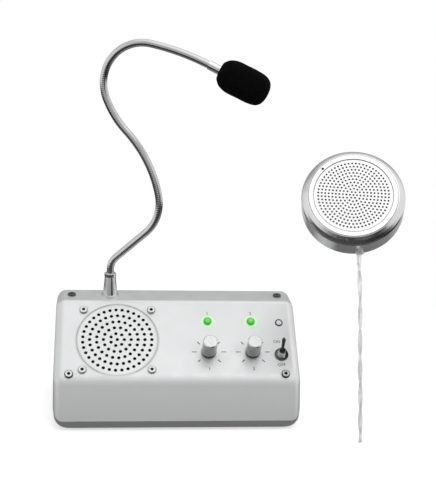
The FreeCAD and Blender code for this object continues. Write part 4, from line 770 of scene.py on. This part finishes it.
# Dark cards that draw lines along polished metal: a direction, and how wide each is
CARDS = (((0.52, -0.85, -0.1), 0.95, 0.978),)
CARD_SHARE = 0.08

# Lamps: place, target and size in millimetres, and power in watts
LAMPS = (
    ("key", (60.0, -550.0, 1050.0), (20.0, 0.0, 90.0), 700.0, 3.5),
    ("fill", (-900.0, -200.0, 500.0), (0.0, 0.0, 120.0), 500.0, 0.4),
    ("side", (430.0, -430.0, 330.0), (70.0, -20.0, 50.0), 300.0, 0.42),
    ("rim", (500.0, 700.0, 800.0), (20.0, 0.0, 120.0), 400.0, 0.5),
)


def add_floor():
    """A pale disc that shows as white where no shadow falls on it."""
    reach = FLOOR_REACH * MM
    points = []
    for side in range(FLOOR_SIDES):
        angle = TURN * side / FLOOR_SIDES
        points.append((reach * math.cos(angle), reach * math.sin(angle), 0.0))
    floor = add_mesh("floor", points, [tuple(range(FLOOR_SIDES))], smooth=False)
    shader = Shader("floor_white", FLOOR_WHITE, roughness=0.9)
    here = shader.place()
    shader.rough(shader.noise(here, size=3.0, detail=2.0), SOFT, low=0.85, high=0.95)
    rays = shader.add("ShaderNodeLightPath").outputs
    lift = shader.maths("MULTIPLY", shader.seen_directly(rays), FLOOR_LIFT)
    mirrored = shader.maths("MULTIPLY", rays["Is Glossy Ray"], MIRRORED_LIFT)
    shader.glow(WHITE, shader.maths("MAXIMUM", lift, mirrored))
    seen_dark = shader.blend(shader.over(shader.axes(here)[1], FLOOR_MIRRORED_SPAN), *FLOOR_MIRRORED)
    shader.colour(shader.blend(rays["Is Glossy Ray"], FLOOR_WHITE, seen_dark))
    floor.data.materials.append(shader.material)


def add_world():
    """White behind the part; for gloss, a studio that is brightest overhead and dimmer in front."""
    world = bpy.data.worlds.new("studio")
    bpy.context.scene.world = world
    world.use_nodes = True
    sky = Nodes(world.node_tree)
    toward = sky.add("ShaderNodeTexCoord").outputs["Generated"]
    x, y, z = sky.axes(toward)
    level = sky.ramp(y, *LEVEL_SPAN, IN_FRONT, BEHIND)
    beside = sky.ramp(sky.maths("ABSOLUTE", x), *BESIDE_SPAN)
    overhead = sky.maths("ADD", sky.maths("MULTIPLY", x, OVERHEAD_TILT), OVERHEAD)
    studio = sky.mix(sky.ramp(z, *OVERHEAD_SPAN), sky.mix(beside, level, BESIDE), overhead)
    for direction, low, high in CARDS:
        dot = sky.add("ShaderNodeVectorMath", operation="DOT_PRODUCT")
        sky.put(dot, 0, toward)
        sky.put(dot, 1, Vector(direction).normalized())
        studio = sky.maths("MULTIPLY", studio, sky.ramp(dot.outputs["Value"], low, high, 1.0, CARD_SHARE))
    ground = sky.ramp(y, *GROUND_SPAN, GROUND_IN_FRONT, GROUND_BEHIND)
    mirrored = sky.mix(sky.ramp(z, *HORIZON_SPAN), ground, studio)
    rays = sky.add("ShaderNodeLightPath").outputs
    strength = sky.mix(rays["Is Glossy Ray"], AMBIENT, mirrored)
    plain = sky.nodes["Background"]
    plain.inputs["Color"].default_value = WHITE
    sky.put(plain, "Strength", sky.mix(sky.seen_directly(rays), strength, 1.0))


def add_lamps():
    """Lamps for matt surfaces and shadows: metal mirrors the studio in the world instead of them."""
    for name, place, target, size, power in LAMPS:
        data = bpy.data.lights.new(name, "AREA")
        data.shape = "DISK"
        data.size = size * MM
        data.energy = power
        lamp = add_object(name, data)
        lamp.location = metres(place)
        toward = metres(target) - metres(place)
        lamp.rotation_euler = toward.to_track_quat("-Z", "Y").to_euler()
        lamp.visible_glossy = False


# The gooseneck

JOINTS = {joint["name"]: joint for joint in frame["record"]["behaviour"]["joints"]}
NECK_PITCH = 1.5
NECK_GROOVE = 0.06
NECK_SIDES = 28
NECK_RINGS_PER_RIB = 6
NECK_STEP = NECK_PITCH / NECK_RINGS_PER_RIB
NECK_ALONG = Matrix.Rotation(math.radians(-NECK_YAW), 3, "Z") @ Vector((1.0, 0.0, 0.0))
NECK_OUT = NECK_ALONG.cross(Vector((0.0, 0.0, 1.0)))
# Each joint, how far the neck bends either side of it, and the solids that its piece stands for
NECK_BENDS = (
    ("neck_lean", 3, ("neck_stub", "neck_lower")),
    ("neck_side_bend", 9, ("neck_side",)),
    ("neck_middle_bend", 9, ("neck_upper",)),
    ("neck_top_bend", 9, ("neck_mic_end",)),
)


def neck_walk(stretches, spot, heading, step):
    """Points and headings along stretches, in the neck's plane, in millimetres and radians."""
    line = []
    x, y = spot
    for size, turn in stretches:
        length = size if turn == 0 else size * abs(math.radians(turn))
        count = max(2, round(length / step))
        bend = math.radians(turn) / length
        for index in range(count):
            line.append((x, y, heading))
            middle = heading + bend * length / count / 2
            x += math.cos(middle) * length / count
            y += math.sin(middle) * length / count
            heading += bend * length / count
    return line, (x, y), heading


def neck_line():
    """Places and headings along the whole neck, in metres, and the row numbers of its joints."""
    root = Vector(JOINTS["neck_lean"]["pos_m"])
    spot, heading = (0.0, -NECK_SINK), math.pi / 2
    flat, marks = [], []
    for stretch in (((NECK_SINK, 0.0),), LOWER_STRETCH, SIDE_STRETCH, UPPER_STRETCH, MIC_STRETCH):
        part, spot, heading = neck_walk(stretch, spot, heading, NECK_STEP)
        flat += part
        marks.append(len(flat))
    flat.append((*spot, heading))
    line = []
    for x, y, turn in flat:
        place = root + NECK_ALONG * (x * MM) + Vector((0.0, 0.0, y * MM))
        line.append((place, NECK_ALONG * math.cos(turn) + Vector((0.0, 0.0, math.sin(turn)))))
    return line, marks[:-1]


NECK_LINE, NECK_MARKS = neck_line()


def sweep_neck(name, first, last, material):
    """A tube along rows of the neck's line: a close spiral of rounded turns."""
    points, faces = [], []
    for index in range(first, last + 1):
        centre, ahead = NECK_LINE[index]
        across = NECK_OUT.cross(ahead)
        for side in range(NECK_SIDES):
            angle = TURN * side / NECK_SIDES
            share = (index / NECK_RINGS_PER_RIB + side / NECK_SIDES) % 1.0
            ridge = math.sqrt(1.0 - (2 * share - 1) ** 2)
            radius = (NECK_RADIUS - NECK_GROOVE * (1.0 - ridge)) * MM
            points.append(centre + (NECK_OUT * math.cos(angle) + across * math.sin(angle)) * radius)
        if index > first:
            faces += ring_faces(0, index - first, NECK_SIDES)
    piece = add_mesh(name, points, faces)
    piece.data.materials.append(material)
    return piece


def add_neck(material):
    """The neck in four pieces, each reaching across one of its joints."""
    middles = [(mark + after) // 2 for mark, after in zip(NECK_MARKS, NECK_MARKS[1:])]
    cuts = [0, *middles, len(NECK_LINE) - 1]
    for index, (joint, bend_reach, nodes) in enumerate(NECK_BENDS):
        piece = sweep_neck("gooseneck_%d" % (index + 1), cuts[index], cuts[index + 1], material)
        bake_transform(piece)
        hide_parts(*nodes)


# The foam windscreen

# The foam's outline: places along it and radii, as shares of its length and its largest radius
FOAM_SHARES = (
    (0.0, 0.44), (0.0, 0.53), (0.02, 0.62), (0.07, 0.78), (0.14, 0.9), (0.23, 0.975), (0.33, 1.0), (0.5, 1.0),
    (0.62, 1.0), (0.72, 0.985), (0.81, 0.94), (0.885, 0.85), (0.94, 0.7), (0.975, 0.5), (0.993, 0.27),
    (1.0, 0.0))
FOAM_ROWS = 110
FOAM_SIDES = 132
# The skin's pores and lumps: their sizes and depths, and how near the axis they fade out
PORE_SIZE, PORE_DEPTH = 1.1, 0.09
PORE_FALL, PORE_SPREAD, PORE_OCTAVES = 0.8, 2.0, 3
LUMP_SIZE, LUMP_DEPTH = 9, 0.2
FADE_RADIUS = 3
MERGE_DISTANCE = 0.02
OUTLINE_STEPS = 12


def smooth_profile(points, count):
    """Evenly spaced points on a smooth curve through (along, radius) pairs."""
    dense = []
    for index in range(len(points) - 1):
        before = Vector(points[max(0, index - 1)])
        first = Vector(points[index])
        last = Vector(points[index + 1])
        after = Vector(points[min(len(points) - 1, index + 2)])
        square = 2 * before - 5 * first + 4 * last - after
        cube = 3 * first - before - 3 * last + after
        for step in range(OUTLINE_STEPS):
            t = step / OUTLINE_STEPS
            dense.append(0.5 * ((2 * first) + (last - before) * t + square * t * t + cube * t ** 3))
    dense.append(Vector(points[-1]))
    total = sum((b - a).length for a, b in zip(dense, dense[1:]))
    result, travelled, goal = [dense[0]], 0.0, total / count
    for a, b in zip(dense, dense[1:]):
        gap = (b - a).length
        while gap and travelled + gap >= goal and len(result) < count:
            result.append(a.lerp(b, (goal - travelled) / gap))
            goal += total / count
        travelled += gap
    result.append(dense[-1])
    return [(p.x, max(0.0, p.y)) for p in result]


def merge(piece, distance):
    """Join points that lie within a distance in millimetres of each other."""
    work = bmesh.new()
    work.from_mesh(piece.data)
    bmesh.ops.remove_doubles(work, verts=work.verts, dist=distance * MM)
    bmesh.ops.recalc_face_normals(work, faces=work.faces)
    work.to_mesh(piece.data)
    work.free()


def add_foam(material):
    """Foam windscreen: a soft rounded egg whose skin is a little uneven."""
    tip, heading = NECK_LINE[-1]
    side = heading.cross(Vector((0, 0, 1))).normalized()
    up = side.cross(heading)
    solid = [vertex.co - tip for vertex in frame["nodes"]["foam_windscreen"].data.vertices]
    start = min(spot.dot(heading) for spot in solid)
    length = max(spot.dot(heading) for spot in solid) - start
    radius = max((spot - heading * spot.dot(heading)).length for spot in solid)
    profile = [(length * along, radius * wide) for along, wide in FOAM_SHARES]
    points, faces = [], []
    for row, (along, reach) in enumerate(smooth_profile(profile, FOAM_ROWS)):
        for index in range(FOAM_SIDES):
            angle = TURN * index / FOAM_SIDES
            spoke = side * math.cos(angle) + up * math.sin(angle)
            spot = tip + heading * (start + along) + spoke * reach
            pores = noise.fractal(spot / (PORE_SIZE * MM), PORE_FALL, PORE_SPREAD, PORE_OCTAVES)
            lump = noise.noise(spot / (LUMP_SIZE * MM))
            fade = min(1.0, reach / (FADE_RADIUS * MM))
            points.append(spot + spoke * ((PORE_DEPTH * pores + LUMP_DEPTH * lump) * MM * fade))
        if row:
            faces += ring_faces(0, row, FOAM_SIDES)
    piece = add_mesh("foam_cover", points, faces)
    merge(piece, MERGE_DISTANCE)
    dress(piece, material, "windscreen")
    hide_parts("foam_windscreen")


# The cord

STRAND_RADIUS = 0.88
STRAND_SIDES = 14
TWIST_PITCH = 44.0
CORD_STEP = 0.6
ROUTE_STEPS = 24
# How unevenly the strands twist: in turns, along the cord's points, and how far apart their noise lies
TWIST_WANDER = 0.09
WANDER_RATE = 0.02
WANDER_APART = 7.0


def route_points(name, route):
    """Points of a NURBS curve through a route given in millimetres."""
    data = bpy.data.curves.new(name, "CURVE")
    data.dimensions = "3D"
    data.resolution_u = ROUTE_STEPS
    spline = data.splines.new("NURBS")
    spline.points.add(len(route) - 1)
    for control, spot in zip(spline.points, route):
        control.co = (*metres(spot), 1.0)
    spline.order_u = 3
    spline.use_endpoint_u = True
    mesh = mesh_of(name, data)
    points = [vertex.co.copy() for vertex in mesh.vertices]
    bpy.data.curves.remove(data)
    bpy.data.meshes.remove(mesh)
    return points


def evenly(points, step):
    """Points at an even step along a line."""
    result, left = [points[0]], step
    for a, b in zip(points, points[1:]):
        gap = (b - a).length
        done = 0.0
        while gap - done >= left:
            done += left
            result.append(a.lerp(b, done / gap))
            left = step
        left -= gap - done
    if (points[-1] - result[-1]).length > step / 4:
        result.append(points[-1])
    return result


def cord_rows(path):
    """Each point of the cord with two directions square to it."""
    rows = []
    away = Vector((1.0, 0.0, 0.0))
    for index, spot in enumerate(path):
        before = path[max(0, index - 1)]
        after = path[min(len(path) - 1, index + 1)]
        ahead = (after - before).normalized()
        away = (away - ahead * away.dot(ahead)).normalized()
        rows.append((spot, away, ahead.cross(away)))
    return rows


def add_cord(materials):
    """Two insulated conductors twisted round each other, straight down to a bare end."""
    path = evenly(route_points("cord_route", CORD_ROUTE), CORD_STEP * MM)
    rows = cord_rows(path)
    radius = STRAND_RADIUS * MM
    points, faces, slots = [], [], []
    for strand in range(len(materials)):
        base = len(points)
        for index, (spot, right, up) in enumerate(rows):
            wander = noise.noise(Vector((0.0, strand * WANDER_APART, index * WANDER_RATE)))
            turn = TURN * (index * CORD_STEP / TWIST_PITCH + TWIST_WANDER * wander) + strand * math.pi
            centre = spot + (right * math.cos(turn) + up * math.sin(turn)) * radius
            for side in range(STRAND_SIDES):
                angle = TURN * side / STRAND_SIDES
                points.append(centre + (right * math.cos(angle) + up * math.sin(angle)) * radius)
            if index:
                faces += ring_faces(base, index, STRAND_SIDES)
        for row in (0, len(rows) - 1):
            ring = [base + row * STRAND_SIDES + side for side in range(STRAND_SIDES)]
            faces.append(tuple(ring if row else reversed(ring)))
        slots += [strand] * (len(faces) - len(slots))
    piece = add_mesh("twisted_cord", points, faces)
    for material in materials:
        piece.data.materials.append(material)
    for polygon, slot in zip(piece.data.polygons, slots):
        polygon.material_index = slot
    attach(piece, "outside_unit")
    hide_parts("outside_cord")


# Printing on the panel

INK_RISE = 0.06
TICK_ANGLES = (-135, -90, -45, 0, 45, 90, 135)
# Ticks: where each starts, then where it ends and half its width, which differ at the sides
TICK_START = 9.6
TICK_END, TICK_HALF = 12.4, 0.38
SIDE_TICK_END, SIDE_TICK_HALF = 13.4, 0.28
SIDE_ANGLE = 90
# Lettering: the share that takes a letter's height to the font's size, and each height and place
FONT_SHARE = 1.35
WORD_HEIGHT = 2.6
NUMBER_HEIGHT = 2.8
ON_PLACE = (78.3, 32.0)
OFF_PLACE = (80.6, 11.4)
LAMP_NUMBER_UP = 57.5
KNOB_NUMBER_UP = 8.3


def printed(name, outline_sets):
    """Thin raised printing on the panel, from outlines in panel millimetres."""
    points, faces = [], []
    for outline in outline_sets:
        base = len(points)
        count = len(outline)
        for level in (0.0, INK_RISE):
            points += [on_panel(x, y, level) for x, y in outline]
        faces.append(tuple(base + count + i for i in range(count)))
        for i in range(count):
            j = (i + 1) % count
            faces.append((base + i, base + j, base + count + j, base + count + i))
    return add_mesh(name, points, faces, smooth=False)


def add_dials(material):
    """Ticks round each knob, from the lowest volume to the highest."""
    for side, across in KNOB_ACROSS.items():
        centre = Vector((across, KNOB_UP))
        marks = []
        for angle in TICK_ANGLES:
            at_side = abs(angle) == SIDE_ANGLE
            end, half = (SIDE_TICK_END, SIDE_TICK_HALF) if at_side else (TICK_END, TICK_HALF)
            turn = math.radians(90 - angle)
            ahead = Vector((math.cos(turn), math.sin(turn)))
            over = Vector((-ahead.y, ahead.x)) * half
            corners = [centre + ahead * TICK_START - over, centre + ahead * end - over,
                       centre + ahead * end + over, centre + ahead * TICK_START + over]
            marks.append([(c.x, c.y) for c in corners])
        dress(printed("dial_ticks_" + side, marks), material, "desk_unit")


def add_text(name, words, across, up, height, material):
    """Generic lettering: a plain word or number, flat on the panel."""
    data = bpy.data.curves.new(name, "FONT")
    data.body = words
    data.size = height * MM * FONT_SHARE
    data.align_x = "CENTER"
    data.align_y = "CENTER"
    data.extrude = INK_RISE / 2 * MM
    mesh = mesh_of(name + "_curve", data)
    mesh.transform(PANEL @ Matrix.Translation(metres((across, up, INK_RISE / 2))))
    dress(add_object(name, mesh), material, "desk_unit")


def add_printing(material):
    add_dials(material)
    add_text("switch_on", "ON", *ON_PLACE, WORD_HEIGHT, material)
    add_text("switch_off", "OFF", *OFF_PLACE, WORD_HEIGHT, material)
    for number, across in enumerate(KNOB_ACROSS.values(), start=1):
        for name, up in (("lamp_number_%d", LAMP_NUMBER_UP), ("knob_number_%d", KNOB_NUMBER_UP)):
            add_text(name % number, str(number), across, up, NUMBER_HEIGHT, material)


# Materials on the solids

def finish_nodes():
    """Materials on the pieces that keep the shape that the solids give them."""
    steel = plated_steel("zinc_steel", tone=0.66, roughness=0.3)
    dark_steel = plated_steel("dark_steel", tone=0.36, roughness=0.36)
    polished = chrome("chrome", tone=0.72)
    black = moulded("black_plastic", BLACK_PLASTIC)
    black_rubber = rubber()
    cloth = black_cloth()
    table = {
        "top_cover": silver_paint(),
        "bottom_tray": tray_paint(),
        "rubber_feet": black_rubber,
        # Screw heads with painted shade in their recesses and painted shadow at their rims, of the given tone
        "front_cover_screws": screw_heads("cover_screw_heads", rim=0.06, places=COVER_SCREWS),
        "top_cover_screws": plated_steel("blackened_steel", tone=0.1, roughness=0.35),
        "speaker_screws": screw_heads("speaker_screw_heads", rim=0.36, places=SPEAKER_SCREWS),
        "speaker_nuts": steel,
        "speaker_cloth": cloth,
        "speaker_frame": dark_steel,
        "speaker_magnet": moulded("ferrite", FERRITE, roughness=0.6),
        "speaker_cone": moulded("cone_paper", CONE_PAPER, roughness=0.9),
        "control_board": moulded("solder_mask", SOLDER_MASK, roughness=0.35),
        "board_studs": plated_steel("brass", tone=0.6, roughness=0.3),
        "board_screws": steel,
        "amplifier_parts": black,
        "heat_sink": plated_steel("sink_metal", tone=0.5, roughness=0.4),
        "volume_pot_left": steel,
        "volume_pot_right": steel,
        "pot_shaft_left": steel,
        "pot_shaft_right": steel,
        "lamp_lens_left": lit_lens("left"),
        "lamp_lens_right": lit_lens("right"),
        "lamp_holders": black,
        "power_lamp": clear_lens(),
        "power_lamp_ring": black,
        "switch_body": polished,
        "switch_washer": plated_steel("washer_steel", tone=0.16, roughness=0.2),
        "switch_nut": chrome("nut_chrome", tone=0.5, roughness=0.06),
        "toggle_lever": moulded("lever_black", BLACK_PLASTIC, roughness=0.25),
        "power_inlet": black,
        "power_inlet_pin": steel,
        "outside_unit_jack": black,
        "neck_ferrule": polished,
        "neck_nut": steel,
        "mic_housing": polished,
        "mic_capsule": dark_steel,
        # The shell: painted shade on its side wall, painted shadow lines on its face and a pinhole painted as
        # shade
        "outside_shell": turned_metal("shell_metal", OUTSIDE, tone=0.86, roughness=0.22, dark=SHELL_WALL_SHADE,
                                      lines=SHELL_SHADOW_LINES, spot=PINHOLE),
        "outside_mic_capsule": black,
        # The outside grille: painted shade on its hole walls and round its holes
        "outside_grille": turned_metal("grille_metal", OUTSIDE, tone=0.84, roughness=0.32, dark=GRILLE_WALL_SHADE,
                                       holes=OUTSIDE_GRILLE_SHADING),
        "outside_cloth": cloth,
        "outside_speaker": dark_steel,
        "outside_back_plate": turned_metal("back_metal", OUTSIDE, tone=0.6),
        "outside_screws": steel,
        "mounting_pad": black_rubber,
        "cord_gland": cord_plastic("clear_gland", CORD_GLAND, clear=0.5),
    }
    for side, across in KNOB_ACROSS.items():
        axis = panel_frame_at(across, KNOB_UP)
        # Knobs with painted shade on their sides, darkest at the foot
        table["knob_" + side] = turned_metal("knob_metal_" + side, axis, tone=0.62, roughness=0.24,
                                             dark=KNOB_SHADE_BANDS)
    for node, material in table.items():
        for slot in frame["nodes"][node].material_slots:
            slot.material = material


add_camera()
add_floor()
add_world()
add_lamps()
finish_nodes()
add_neck(chrome("neck_chrome", tone=0.56, roughness=0.16))
add_foam(foam())
add_cord([cord_plastic("cord_white", CORD_WHITE, clear=0.88),
          cord_plastic("cord_silver", CORD_SILVER, clear=0.74)])
add_printing(ink())

scene = bpy.context.scene
scene.view_settings.view_transform = "Standard"
